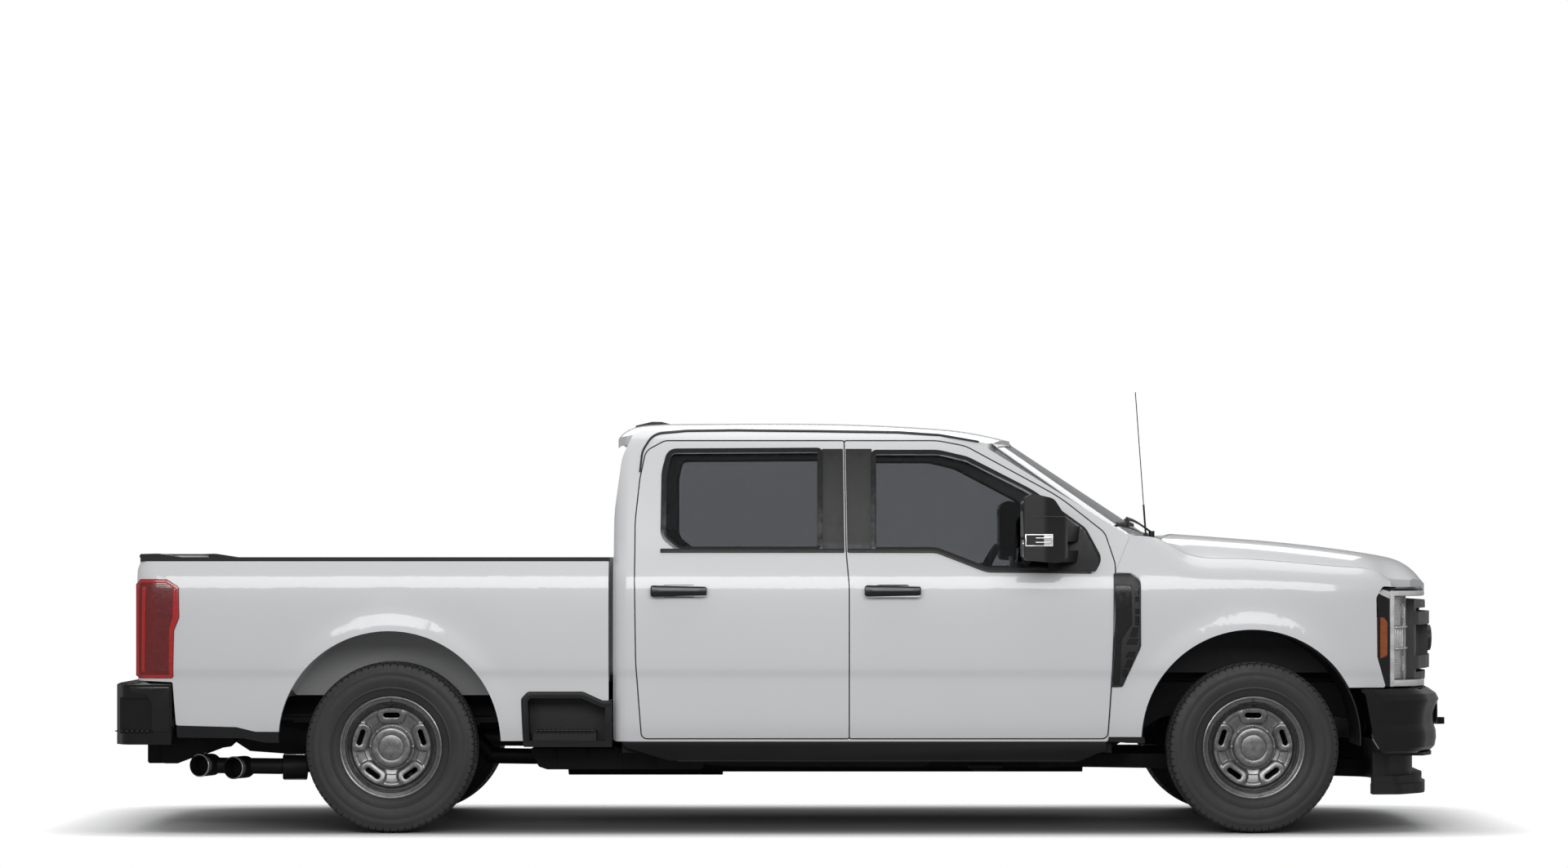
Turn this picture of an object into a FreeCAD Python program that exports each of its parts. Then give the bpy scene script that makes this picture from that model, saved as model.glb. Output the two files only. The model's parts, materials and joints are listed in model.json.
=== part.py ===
import FreeCAD, Part
import math
import os
from FreeCAD import Vector

# Crew cab pickup truck in millimetres: +X forward, +Y left, +Z up.
# The origin lies on the ground at the middle of the length and width.

# Wheels and axles
wheelbase = 4059
front_reach = 984
rear_reach = 1307
tyre_radius = 403
tyre_width = 245
front_track = 1735
rear_track = 1709
overall_length = front_reach + wheelbase + rear_reach
front_axle_x = overall_length / 2 - front_reach
rear_axle_x = front_axle_x - wheelbase
axle_z = tyre_radius
rim_radius = 216
rim_width = 200
flange_radius = 240
flange_thickness = 6
barrel_wall = 11
disc_radius = 196
disc_wall = 9
hub_face = 40
hub_radius = 72
hub_depth = 75
cap_radius = 101
cap_reach = 92
spindle_radius = 35
running_clearance = 0.05
seat_gap = 0.3
wheel_slots = 5
slot_circle = 150
slot_length = 84
slot_width = 31
kingpin_y = 758
kingpin_radius = 20

# Body widths and heights
body_half_width = 1003
sill_z = 431
crease_z = 762
belt_z = 1327
door_top_z = 1848
gutter_z = 1902
roof_z = 1950
roof_thickness = 42
bed_floor_z = 770
rail_z = 1298
rail_cap = 19
flare_height = 13
flare_width = 105

# Stations along the truck
door_front_x = front_axle_x - 655
door_split_x = front_axle_x - 1902
rear_door_back_x = front_axle_x - 2908
cab_back_x = front_axle_x - 3013
bed_gap = 20
bed_front_x = cab_back_x - bed_gap
bed_rear_x = rear_axle_x - 1191
front_arch_x = front_axle_x - 11
front_arch_z = 441
front_arch_radius = 518
rear_arch_x = rear_axle_x - 4
rear_arch_z = 430
rear_arch_radius = 522

# Panels
shut_gap = 6
door_skin = 26
door_thickness = 100
door_inset = 28
door_clearance = 6
frame_ring = 50
aperture_inset = 50
panel_wall = 30
glass_wall = 5
glass_depth = 16
liner_wall = 6

# Chassis
rail_inner_y = 360
rail_width = 75
rail_height = 180
rail_low_z = 430
rail_high_z = 622
cross_height = 45
cross_length = 90
cab_floor_z = 560
floor_wall = 20
axle_tube_radius = 45
rear_tube_radius = 52


def box(x0, x1, y0, y1, z0, z1):
    return Part.makeBox(x1 - x0, y1 - y0, z1 - z0, Vector(x0, y0, z0))


def rod(radius, start, end):
    path = Vector(*end) - Vector(*start)
    return Part.makeCylinder(radius, path.Length, Vector(*start), path)


def mirrored(shape):
    return shape.mirror(Vector(0, 0, 0), Vector(0, 1, 0))


def both_sides(shape):
    return Part.makeCompound([shape, mirrored(shape)])


def solids_of(shapes):
    found = []
    for shape in shapes:
        found.extend(shape.Solids)
    return Part.makeCompound(found)


def joined(shapes):
    return shapes[0].multiFuse(shapes[1:]).removeSplitter()


def spot(plane, a, b, level):
    """A point of a side (xz), plan (xy) or end (yz) view, at a level along its normal."""
    if plane == "xz":
        return Vector(a, level, b)
    if plane == "xy":
        return Vector(a, b, level)
    return Vector(level, a, b)


def normal(plane, length):
    if plane == "xz":
        return Vector(0, length, 0)
    if plane == "xy":
        return Vector(0, 0, length)
    return Vector(length, 0, 0)


def outline_face(points, plane, level):
    """A face from corners (a, b) or (a, b, radius), with rounded corners as arcs."""
    stops = []
    for index, corner in enumerate(points):
        here = spot(plane, corner[0], corner[1], level)
        last = points[index - 1]
        following = points[(index + 1) % len(points)]
        if len(corner) == 2:
            stops.append([here])
            continue
        back = (spot(plane, last[0], last[1], level) - here).normalize()
        ahead = (spot(plane, following[0], following[1], level) - here).normalize()
        half = back.getAngle(ahead) / 2
        reach = corner[2] / math.tan(half)
        middle = here + (back + ahead).normalize() * (corner[2] / math.sin(half) - corner[2])
        stops.append([here + back * reach, middle, here + ahead * reach])
    edges = []
    for index, stop in enumerate(stops):
        if len(stop) == 3:
            edges.append(Part.Arc(stop[0], stop[1], stop[2]).toShape())
        start = stop[-1]
        end = stops[(index + 1) % len(stops)][0]
        if start.distanceToPoint(end) > 0.001:
            edges.append(Part.LineSegment(start, end).toShape())
    return Part.Face(Part.Wire(edges))


def prism(points, plane, low, high, grow=0):
    """A solid with the given outline, from one level to another along the view's normal."""
    face = outline_face(points, plane, low)
    if grow:
        face = face.makeOffset2D(grow)
    return face.extrude(normal(plane, high - low))


def smooth_path(points, place):
    """The height of a smooth line through (place, height) points."""
    if place <= points[0][0]:
        return points[0][1]
    if place >= points[-1][0]:
        return points[-1][1]
    slopes = []
    for index in range(len(points)):
        before = points[max(index - 1, 0)]
        after = points[min(index + 1, len(points) - 1)]
        slopes.append((after[1] - before[1]) / (after[0] - before[0]))
    for index in range(len(points) - 1):
        a = points[index]
        b = points[index + 1]
        if place <= b[0]:
            span = b[0] - a[0]
            t = (place - a[0]) / span
            rise = (2 * t ** 3 - 3 * t ** 2 + 1) * a[1] + (3 * t ** 2 - 2 * t ** 3) * b[1]
            bend = (t ** 3 - 2 * t ** 2 + t) * slopes[index] + (t ** 3 - t ** 2) * slopes[index + 1]
            return rise + bend * span


def ease(value):
    value = min(max(value, 0), 1)
    return value * value * (3 - 2 * value)


def steps(low, high, count):
    return [low + (high - low) * index / (count - 1) for index in range(count)]


def knots(count):
    """Knots and their repeats for a smooth cubic line with its ends on the end points."""
    places = list(range(count - 2))
    repeats = [4] + [1] * (count - 4) + [4]
    return places, repeats


def surface_face(rows):
    """A smooth surface drawn by a net of points."""
    along, along_repeats = knots(len(rows))
    across, across_repeats = knots(len(rows[0]))
    surface = Part.BSplineSurface()
    surface.buildFromPolesMultsKnots(rows, along_repeats, across_repeats, along, across,
                                     False, False, 3, 3)
    return surface.toShape()


def slab(rows, shift, thickness, direction):
    """A wall that follows a surface: it starts at a shift along a direction and has a thickness."""
    face = surface_face(rows)
    face.translate(direction * shift)
    return face.extrude(direction * thickness)


# The side of the body is a height y over the side view

side_profile = [
    (300, 64), (420, 58), (470, 38), (520, 26), (640, 18), (crease_z - 26, 14), (crease_z + 8, 4),
    (900, 0), (1050, 0), (1150, 4), (1215, 14), (1270, 34), (belt_z, 52), (1400, 70),
    (1600, 118), (1780, 168), (1850, 196), (1880, 220), (1900, 250), (1930, 300),
]


def side_base(z):
    return body_half_width - smooth_path(side_profile, z)


def flare(x, z, arch_x, arch_z, arch_radius):
    distance = math.hypot(x - arch_x, z - arch_z)
    return flare_height * ease(1 - (distance - arch_radius) / flare_width)


corner_radius = 85
nose_taper_start = front_axle_x + 150
nose_taper_length = 800
nose_taper = 105


def cab_side_y(x, z):
    corner = min(max((cab_back_x + corner_radius - x) / corner_radius, 0), 0.97)
    return side_base(z) - corner_radius * 0.8 * (1 - math.sqrt(1 - corner ** 2))


def bed_side_y(x, z):
    corner = min(max((bed_rear_x + corner_radius - x) / corner_radius, 0), 0.97)
    tuck = corner_radius * 0.45 * (1 - math.sqrt(1 - corner ** 2))
    arch = flare(x, z, rear_arch_x, rear_arch_z, rear_arch_radius)
    return side_base(min(z, belt_z)) + arch - tuck


fender_top = [
    (front_axle_x - 660, 1404), (front_axle_x - 480, 1396), (front_axle_x - 400, 1370),
    (front_axle_x - 320, 1320), (front_axle_x - 240, 1299), (front_axle_x - 20, 1293),
    (front_axle_x + 387, 1258), (front_axle_x + 576, 1240), (front_axle_x + 643, 1184),
    (front_axle_x + 662, 1173), (front_axle_x + 772, 1169), (front_axle_x + 860, 1164),
]
fender_roll_height = 115
fender_roll = 62


def nose_tuck(x):
    run = max((x - nose_taper_start) / nose_taper_length, 0)
    return nose_taper * run ** 2.5


def front_side_y(x, z):
    top = smooth_path(fender_top, x)
    roll = min(max((z - top + fender_roll_height) / fender_roll_height, 0), 0.97)
    roll_depth = fender_roll * ease((x - front_axle_x + 640) / 350)
    arch = flare(x, z, front_arch_x, front_arch_z, front_arch_radius)
    return side_base(z) + arch - nose_tuck(x) - roll_depth * (1 - math.sqrt(1 - roll ** 2))


def side_rows(height, xs, zs):
    return [[Vector(x, height(x, z), z) for z in zs] for x in xs]


inward = Vector(0, -1, 0)
cab_back_stations = [cab_back_x + d for d in (-12, 0, 3, 8, 16, 28, 44, 62, 82)]
cab_xs = cab_back_stations + steps(cab_back_x + 130, door_front_x + 160, 16)
cab_zs = [380, 405, 430, 450, 475, 500, 530, 580, 640, 700, 725, 738, 750, 762, 774, 790, 830, 900, 980,
          1050, 1110, 1160, 1200, 1240, 1280, 1327, 1380, 1450, 1530, 1610, 1690, 1770, 1815, 1850,
          1870, 1885, 1900, 1912]
cab_rows = side_rows(cab_side_y, cab_xs, cab_zs)


# Outlines in the side view, from the shut lines of the real panels

def from_front_axle(points):
    moved = []
    for point in points:
        moved.append((front_axle_x + point[0],) + tuple(point[1:]))
    return moved


rear_door_outline = [
    (door_split_x - shut_gap / 2, sill_z + 16, 8),
    (door_split_x - shut_gap / 2, 1160, 500),
    (door_split_x - 18, 1325, 900),
    (door_split_x - 26, door_top_z, 8),
] + from_front_axle([
    (-2775, door_top_z, 60), (-2862, 1800, 60), (-2888, 1669, 300), (-2908, 1469, 600),
    (-2908, 1204, 900), (-2902, 800, 900), (-2876, sill_z + 16, 25),
])
front_door_outline = [
    (door_split_x - 20, door_top_z, 8),
    (door_split_x - 12, 1325, 900),
    (door_split_x + shut_gap / 2, 1160, 500),
    (door_split_x + shut_gap / 2, sill_z + 16, 8),
] + from_front_axle([
    (-690, sill_z + 16, 25), (-655, 1000, 1500), (-655, 1270, 120), (-700, 1412, 80),
    (-910, 1580, 800), (-1350, 1822, 160), (-1480, door_top_z, 300),
])

rear_window_outline = from_front_axle([
    (-2043, 1339, 14), (-2043, 1800, 12), (-2748, 1796, 40), (-2772, 1700, 200), (-2774, 1400, 60),
    (-2700, 1339, 60),
])
front_window_outline = from_front_axle([
    (-1783, 1790, 12), (-1783, 1337, 12), (-1496, 1337, 120), (-1260, 1246, 120), (-760, 1240, 14),
    (-730, 1290, 60), (-800, 1424, 60), (-1040, 1600, 600), (-1345, 1758, 160), (-1480, 1790, 200),
])

side_low = 380
windshield_base = (front_axle_x - 582, 1397)
windshield_top = (front_axle_x - 1209, 1811)
cab_outline = [
    (cab_back_x, sill_z, 12),
    (cab_back_x, 1500, 900),
    (cab_back_x + 36, 1771, 200),
    (cab_back_x + 88, 1885, 40),
    (cab_back_x + 128, gutter_z, 40),
    (door_split_x + 250, gutter_z - 8, 2000),
    (windshield_top[0] - 90, windshield_top[1] + 36, 300),
    (windshield_base[0], windshield_base[1], 20),
    (windshield_base[0] - 40, 1300, 20),
    (door_front_x + shut_gap, 1240, 60),
    (door_front_x + shut_gap, 1000, 1500),
    (door_front_x - 35 + shut_gap, sill_z, 12),
]


def cab_side():
    """One side of the cab: the flush outer panels round the doors and the ring behind them."""
    wall = slab(cab_rows, 0, door_thickness + door_clearance + frame_ring, inward)
    side = wall.common(prism(cab_outline, "xz", 400, 1100))
    recess = slab(cab_rows, -20, 20 + door_thickness + door_clearance, inward)
    for outline in (rear_door_outline, front_door_outline):
        side = side.cut(recess.common(prism(outline, "xz", 400, 1100, shut_gap)))
        side = side.cut(prism(outline, "xz", 400, 1100, -aperture_inset))
    side = joined([side, door_seal(rear_door_outline), door_seal(front_door_outline)])
    side = side.cut(roof_space())
    return side.cut(windshield_space())


def door_seal(outline):
    """The seal round a door opening, just clear of the shut door's inner face."""
    strip = slab(cab_rows, door_thickness + seat_gap, door_clearance + 4, inward)
    strip = strip.common(prism(outline, "xz", 400, 1100, -door_inset - 6))
    return strip.cut(prism(outline, "xz", 400, 1100, -door_inset - 16))


def door(outline, window):
    """A door: a thin skin with the full outline and a deep inner part set in from its edges."""
    body = slab(cab_rows, 0, door_thickness, inward)
    body = body.common(prism(outline, "xz", 400, 1100))
    rim = slab(cab_rows, door_skin, door_thickness, inward)
    rim = rim.cut(prism(outline, "xz", 400, 1100, -door_inset))
    body = body.cut(rim)
    return body.cut(prism(window, "xz", 400, 1100))


def door_glass(window):
    pane = slab(cab_rows, glass_depth, glass_wall, inward)
    return pane.common(prism(window, "xz", 400, 1100, -seat_gap))


# Roof, rear wall and windshield

roof_line = [
    (cab_back_x - 20, 1850), (cab_back_x + 30, 1910), (cab_back_x + 100, 1938), (cab_back_x + 200, 1947),
    (cab_back_x + 420, roof_z), (front_axle_x - 1994, roof_z), (front_axle_x - 1752, roof_z - 9),
    (front_axle_x - 1449, roof_z - 25), (front_axle_x - 1268, roof_z - 45), (front_axle_x - 1150, roof_z - 73),
    (front_axle_x - 1050, roof_z - 112),
]
roof_half_width = 752
roof_drop = 52


def roof_height(x, y):
    across = abs(y) / roof_half_width
    return smooth_path(roof_line, x) - roof_drop * (0.35 * across ** 2 + 0.65 * across ** 6)


windshield_slope = 0.66
windshield_bow = 165
windshield_half_base = 812


def windshield_height(x, y):
    bow = windshield_bow * (abs(y) / windshield_half_base) ** 2
    ahead = windshield_base[0] + windshield_bow - bow - x
    return windshield_base[1] + ahead * windshield_slope


def plan_rows(height, xs, ys):
    return [[Vector(x, y, height(x, y)) for y in ys] for x in xs]


down = Vector(0, 0, -1)
header_x = windshield_top[0] + 30
roof_outline = [
    (cab_back_x + 10, -640, 60), (cab_back_x + 60, -roof_half_width, 60),
    (header_x - 60, -roof_half_width, 20), (header_x - 30, -roof_half_width + 40, 60),
    (header_x + 60, -400, 600), (header_x + 60, 400, 600), (header_x - 30, roof_half_width - 40, 60),
    (header_x - 60, roof_half_width, 20), (cab_back_x + 60, roof_half_width, 60),
    (cab_back_x + 10, 640, 60),
]


stop_lamp_half = 180
stop_lamp_outline = [
    (cab_back_x + 14, 1866, 3), (cab_back_x + 80, 1866, 3), (cab_back_x + 80, 1896, 3),
    (cab_back_x + 26, 1896, 3),
]


def roof_slab(shift, thickness):
    xs = [cab_back_x + d for d in (-20, 10, 30, 55, 85, 130, 200, 300)]
    xs = xs + steps(cab_back_x + 420, header_x + 80, 9)
    ys = steps(-roof_half_width - 20, roof_half_width + 20, 19)
    return slab(plan_rows(roof_height, xs, ys), shift, thickness, down)


def cab_roof():
    shell = roof_slab(0, roof_thickness).common(prism(roof_outline, "xy", 1700, 2000))
    return shell.cut(prism(stop_lamp_outline, "xz", -stop_lamp_half, stop_lamp_half, seat_gap))


def roof_space():
    """The room that the roof panel takes out of the cab sides."""
    room = roof_slab(-80, 80 + roof_thickness + seat_gap)
    return room.common(prism(roof_outline, "xy", 1700, 2100, seat_gap))


back_wall = 60
back_window = [
    (-640, 1360, 60), (640, 1360, 60), (560, 1780, 70), (-560, 1780, 70),
]
back_line = [(400, 0), (1500, 0), (1640, 12), (1771, 36), (1885, 88), (1920, 110)]
ring_depth = door_thickness + door_clearance + frame_ring


def back_rows():
    rows = []
    for y in steps(-1000, 1000, 11):
        rows.append([Vector(cab_back_x + smooth_path(back_line, z), y, z)
                     for z in (400, 700, 1000, 1300, 1500, 1570, 1640, 1700, 1771, 1830, 1885, 1925)])
    return rows


forward = Vector(1, 0, 0)


def back_half_width(z):
    return cab_side_y(cab_back_x + corner_radius, z) - ring_depth


def cab_back():
    """The rear wall between the two cab sides, with its window cut."""
    top_z = 1862
    edge = []
    for z in (cab_floor_z - 30, 900, 1215, belt_z, 1600, 1780, 1830, top_z):
        edge.append((back_half_width(z), z))
    other = [(-y, z) for y, z in reversed(edge)]
    wall = slab(back_rows(), 0, back_wall, forward)
    wall = wall.common(prism(edge + other, "yz", cab_back_x - 50, cab_back_x + 300))
    wall = wall.cut(both_sides(slab(cab_rows, -20, 20 + ring_depth, inward)))
    return wall.cut(prism(back_window, "yz", cab_back_x - 50, cab_back_x + 300))


def rear_glass():
    pane = slab(back_rows(), glass_depth, glass_wall, forward)
    return pane.common(prism(back_window, "yz", cab_back_x - 50, cab_back_x + 300, -seat_gap))


pillar_inset = 66
windshield_wall = 6


def windshield_slab(shift, thickness):
    xs = steps(windshield_top[0] - 20, windshield_base[0] + windshield_bow + 20, 12)
    ys = steps(-windshield_half_base - 40, windshield_half_base + 40, 17)
    return slab(plan_rows(windshield_height, xs, ys), shift, thickness, down)


def windshield_outline():
    top_half = side_base(windshield_top[1]) - pillar_inset
    base_half = side_base(windshield_base[1]) - pillar_inset
    return [
        (windshield_top[0] + 8, top_half, 30), (windshield_base[0] - 20, base_half, 50),
        (windshield_base[0] + 130, 300, 900), (windshield_base[0] + 130, -300, 900),
        (windshield_base[0] - 20, -base_half, 50), (windshield_top[0] + 8, -top_half, 30),
        (header_x + 68, -400, 600), (header_x + 68, 400, 600),
    ]


def windshield():
    return windshield_slab(0, windshield_wall).common(prism(windshield_outline(), "xy", 1200, 2000))


def windshield_space():
    """The room that the windshield takes out of the cab sides."""
    room = windshield_slab(-90, 90 + windshield_wall + seat_gap)
    return room.common(prism(windshield_outline(), "xy", 1200, 2000, seat_gap))


# Cab floor, firewall with cowl, dashboard and seats

tunnel_half = 190
tunnel_top = 722


def cab_wall_space():
    """The room that one cab side takes out of the pieces between the two."""
    return slab(cab_rows, -20, 20 + ring_depth + seat_gap, inward).common(prism(cab_outline, "xz", 400, 1100))


def cab_floor():
    """The floor pan with its sills under the doors."""
    half = side_base(sill_z) - 40
    inner = side_base(sill_z + 120) - ring_depth
    pan = box(cab_back_x + back_wall, door_front_x - 20, -inner, inner, cab_floor_z, cab_floor_z + floor_wall)
    sill = box(cab_back_x + 40, door_front_x - 10, inner - 60, half, sill_z - 55, sill_z - 1)
    web = box(cab_back_x + back_wall, door_front_x - 20, inner - 60, inner - 40, sill_z - 1, cab_floor_z)
    tunnel = box(door_front_x - 760, door_front_x - 20, -tunnel_half, tunnel_half, cab_floor_z, tunnel_top)
    room = box(door_front_x - 750, door_front_x, -tunnel_half + 12, tunnel_half - 12, cab_floor_z - 10,
               tunnel_top - 12)
    floor = joined([pan, sill, mirrored(sill), web, mirrored(web), tunnel]).cut(room)
    return floor.cut(both_sides(cab_wall_space()))


firewall_x = door_front_x - 20 + seat_gap
firewall_wall = 24
cowl_wall = 18


def cowl_height(x, y):
    return 1392 - 0.06 * (x - windshield_base[0]) - 14 * (y / 800) ** 2


hood_rear_x = front_axle_x - 430
hood_rear_centre_x = front_axle_x - 310


def firewall():
    """The wall between engine and cab, with the black cowl that meets the windshield."""
    half = side_base(900) - ring_depth
    plate = prism([(-half, cab_floor_z), (half, cab_floor_z), (half, 1200), (half - 60, 1372),
                   (-half + 60, 1372), (-half, 1200)], "yz", firewall_x, firewall_x + firewall_wall)
    xs = steps(firewall_x - 20, hood_rear_centre_x + 30, 8)
    ys = steps(-900, 900, 11)
    cowl = slab(plan_rows(cowl_height, xs, ys), 0, cowl_wall, down)
    outline = [
        (firewall_x, -810, 20), (windshield_base[0] + 30, -840, 30), (hood_rear_x - shut_gap, -830, 20),
        (hood_rear_centre_x - shut_gap, -300, 60), (hood_rear_centre_x - shut_gap, 300, 60),
        (hood_rear_x - shut_gap, 830, 20), (windshield_base[0] + 30, 840, 30), (firewall_x, 810, 20),
    ]
    cowl = cowl.common(prism(outline, "xy", 1300, 1450))
    tunnel = box(firewall_x - 5, firewall_x + 50, -tunnel_half + 12, tunnel_half - 12, cab_floor_z - 10,
                 tunnel_top - 12)
    wall = joined([plate, cowl]).cut(tunnel).cut(both_sides(cab_wall_space()))
    return wall.cut(windshield_space())


def dashboard():
    """The instrument panel with the steering column and its fixed wheel."""
    section = [
        (firewall_x - seat_gap, 1000, 20), (firewall_x - seat_gap, 1330, 30), (firewall_x - 150, 1335, 60),
        (firewall_x - 360, 1290, 60), (firewall_x - 400, 1180, 40), (firewall_x - 330, 1000, 60),
    ]
    half = back_half_width(1327) - 40
    panel = prism(section, "xz", -half, half)
    wheel_centre = Vector(firewall_x - 560, 400, 1190)
    lean = Vector(-math.cos(math.radians(28)), 0, math.sin(math.radians(28)))
    ring = Part.makeTorus(180, 15, wheel_centre, lean)
    hub = Part.makeCylinder(60, 50, wheel_centre - lean * 25, lean)
    column = rod(32, tuple(wheel_centre), tuple(wheel_centre - lean * 320))
    spokes = []
    for turn in (0, 90, 180):
        spoke = box(-12, 12, 40, 180, -10, 10)
        spoke.rotate(Vector(0, 0, 0), Vector(0, 0, 1), turn - 90)
        spoke.Placement = FreeCAD.Placement(
            wheel_centre, FreeCAD.Rotation(Vector(0, 0, 1), lean)).multiply(spoke.Placement)
        spokes.append(spoke)
    return joined([panel, ring, hub, column] + spokes)


seat_width = 560
seat_y = 400


def seat(x, y, width):
    """A seat with its base, cushion, back and headrest as one form."""
    cushion = prism([(x - 250, 780, 40), (x - 230, 900, 50), (x + 270, 930, 50), (x + 290, 800, 50)],
                    "xz", y - width / 2, y + width / 2)
    back = prism([(x - 300, 790, 50), (x - 460, 1440, 50), (x - 340, 1470, 50), (x - 140, 860, 50)],
                 "xz", y - width / 2 + 10, y + width / 2 - 10)
    head = prism([(x - 470, 1480, 30), (x - 480, 1620, 40), (x - 380, 1630, 40), (x - 355, 1490, 30)],
                 "xz", y - 140, y + 140)
    posts = rod(8, (x - 400, y - 60, 1440), (x - 415, y - 60, 1500))
    other_post = rod(8, (x - 400, y + 60, 1440), (x - 415, y + 60, 1500))
    base = box(x - 220, x + 230, y - width / 2 + 80, y + width / 2 - 60, cab_floor_z + floor_wall + seat_gap,
               800)
    return joined([cushion, back, head, posts, other_post, base])


def seats():
    row_one = door_split_x + 340
    row_two = door_split_x - 520
    front = seat(row_one, seat_y, seat_width)
    rear = seat(row_two, seat_y, seat_width + 160)
    return solids_of([front, mirrored(front), rear, mirrored(rear)])


# Front end

def fender_rows():
    xs = steps(door_front_x - 90, front_axle_x + 860, 45)
    rows = []
    for x in xs:
        top = smooth_path(fender_top, x) - 1
        column = []
        for share in [0, 0.04, 0.08, 0.12, 0.17, 0.22, 0.27, 0.31, 0.345, 0.36, 0.375, 0.39, 0.405, 0.42,
                      0.45, 0.5, 0.55, 0.6, 0.66, 0.72, 0.78, 0.83, 0.87, 0.9, 0.925, 0.945, 0.96, 0.975,
                      0.99, 1.0]:
            z = side_low + (top - side_low) * share
            column.append(Vector(x, front_side_y(x, z), z))
        rows.append(column)
    return rows


trim_top_z = 453
trim_low_z = 424
fender_outline = [
    (door_front_x - 60, 1250, 40),
    (door_front_x - 60, trim_top_z, 10),
    (front_arch_x - 400, trim_top_z, 4),
    (front_arch_x - 400, 686, 4),
    (front_axle_x + 622, 686, 10),
    (front_axle_x + 578, 830, 40),
    (front_axle_x + 574, 1110, 30),
    (front_axle_x + 606, 1161, 16),
    (front_axle_x + 650, 1161, 2),
    (front_axle_x + 650, 1500, 4),
    (door_front_x - 10, 1500, 4),
    (door_front_x - 10, 1396, 4),
]


def arch_cut(x, z, radius, y0, y1):
    return rod(radius, (x, y0, z), (x, y1, z))


def front_fender():
    wall = slab(fender_rows(), 0, panel_wall, inward)
    body = wall.common(prism(fender_outline, "xz", 600, 1100))
    body = body.cut(arch_cut(front_arch_x, front_arch_z, front_arch_radius, 500, 1100))
    body = body.cut(prism(front_door_outline, "xz", 400, 1100, shut_gap))
    body = body.cut(prism(cab_outline, "xz", 400, 1100, 1))
    pocket = slab(fender_rows(), -20, 20 + vent_wall - vent_proud + seat_gap, inward)
    body = body.cut(pocket.common(prism(vent_outline, "xz", 600, 1100, seat_gap)))
    room = slab(hood_rows(), -60, 60 + hood_wall + 8, down)
    return body.cut(room.common(prism(hood_outline(), "xy", 900, 1600, shut_gap)))


def liner(arch_x, arch_z, radius, inner_y, outer_y):
    """A half tube over a wheel."""
    tube = rod(radius, (arch_x, inner_y, arch_z), (arch_x, outer_y, arch_z))
    tube = tube.cut(rod(radius - liner_wall, (arch_x, inner_y - 1, arch_z), (arch_x, outer_y + 1, arch_z)))
    keep = box(arch_x - radius - 10, arch_x + radius + 10, inner_y, outer_y, arch_z - 30, arch_z + radius + 10)
    return tube.common(keep)


def front_trim():
    """The black strip under the back of a front fender."""
    outline = [
        (door_front_x - 30, trim_low_z + 8, 4), (door_front_x - 30, trim_top_z - seat_gap, 4),
        (front_arch_x - 504, trim_top_z - seat_gap, 4), (front_arch_x - 500, trim_low_z, 4),
        (door_front_x + 60, trim_low_z, 8),
    ]
    strip = slab(fender_rows(), -1, panel_wall, inward).common(prism(outline, "xz", 600, 1100))
    return strip.cut(prism(cab_outline, "xz", 400, 1100, 1))


def wheel_liners():
    shell = liner(front_arch_x, front_arch_z, front_arch_radius - 1, 570, 955)
    cheek = rod(front_arch_radius - 1, (front_arch_x, 560, front_arch_z), (front_arch_x, 570, front_arch_z))
    cheek = cheek.common(box(front_arch_x - 700, front_arch_x + 700, 500, 600, 745, 1100))
    return solids_of([both_sides(joined([shell, cheek])), both_sides(front_trim())])


vent_outline = from_front_axle([
    (-655 + shut_gap + 4, 1226, 4), (-577, 1224, 14), (-536, 1196, 16), (-533, 1160, 20), (-537, 868, 30),
    (-620, 690, 12), (-676 + shut_gap + 4, 687, 4),
])
vent_proud = 5
vent_wall = 14


def fender_vents():
    """The black plate behind each front wheel, with rungs cut along its front strip."""
    plate = slab(fender_rows(), -vent_proud, vent_wall, inward).common(prism(vent_outline, "xz", 600, 1100))
    strip_x = front_axle_x - 592
    for step_index in range(7):
        z = 840 + step_index * 48
        notch = prism([(strip_x, z, 4), (strip_x + 40, z + 14, 4), (strip_x + 40, z + 40, 4),
                       (strip_x, z + 26, 4)], "xz", 600, 1100)
        cutter = slab(fender_rows(), -vent_proud - 10, 10 + 8, inward)
        plate = plate.cut(cutter.common(notch))
    return plate.cut(prism(cab_outline, "xz", 400, 1100, 1))


hood_line = [
    (front_axle_x - 440, 1416), (front_axle_x - 300, 1413), (front_axle_x - 118, 1399),
    (front_axle_x + 124, 1381), (front_axle_x + 366, 1356), (front_axle_x + 608, 1324),
    (front_axle_x + 715, 1306), (front_axle_x + 780, 1288), (front_axle_x + 835, 1255),
    (front_axle_x + 880, 1205), (front_axle_x + 905, 1160),
]
hood_wall = 42
hood_bow = 105


def hood_edge_y(x):
    return front_side_y(x, smooth_path(fender_top, x) - 4)


def hood_height(x, y):
    bowed = x + hood_bow * (abs(y) / 900) ** 2
    share = abs(y) / hood_edge_y(x)
    top = smooth_path(hood_line, bowed)
    edge = smooth_path(fender_top, x) - 2
    return top - (top - edge) * (0.3 * share ** 2 + 0.7 * share ** 7)


def hood_rows():
    xs = steps(front_axle_x - 440, front_axle_x + 700, 22)
    xs = xs + steps(front_axle_x + 730, front_axle_x + 910, 9)
    ys = [0.0]
    for y in (140, 280, 420, 540, 640, 710, 760, 800, 830, 855, 880, 905, 930, 955):
        ys.append(y)
        ys.insert(0, -y)
    return plan_rows(hood_height, xs, ys)


def hood_outline():
    edge = []
    for x in steps(hood_rear_x, front_axle_x + 560, 9):
        edge.append((x, hood_edge_y(x) - shut_gap / 2))
    left = [(hood_rear_centre_x, 0)] + [(hood_rear_centre_x, 300)] + edge
    left = left + [(front_axle_x + 640, 898), (front_axle_x + 752, 845), (front_axle_x + 812, 725)]
    left = left + [(front_axle_x + 842, 600), (front_axle_x + 882, 420), (front_axle_x + 902, 200)]
    right = [(x, -y) for x, y in reversed(left)]
    return left + right[:-1]


hood_lamp_gap = 8


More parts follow.
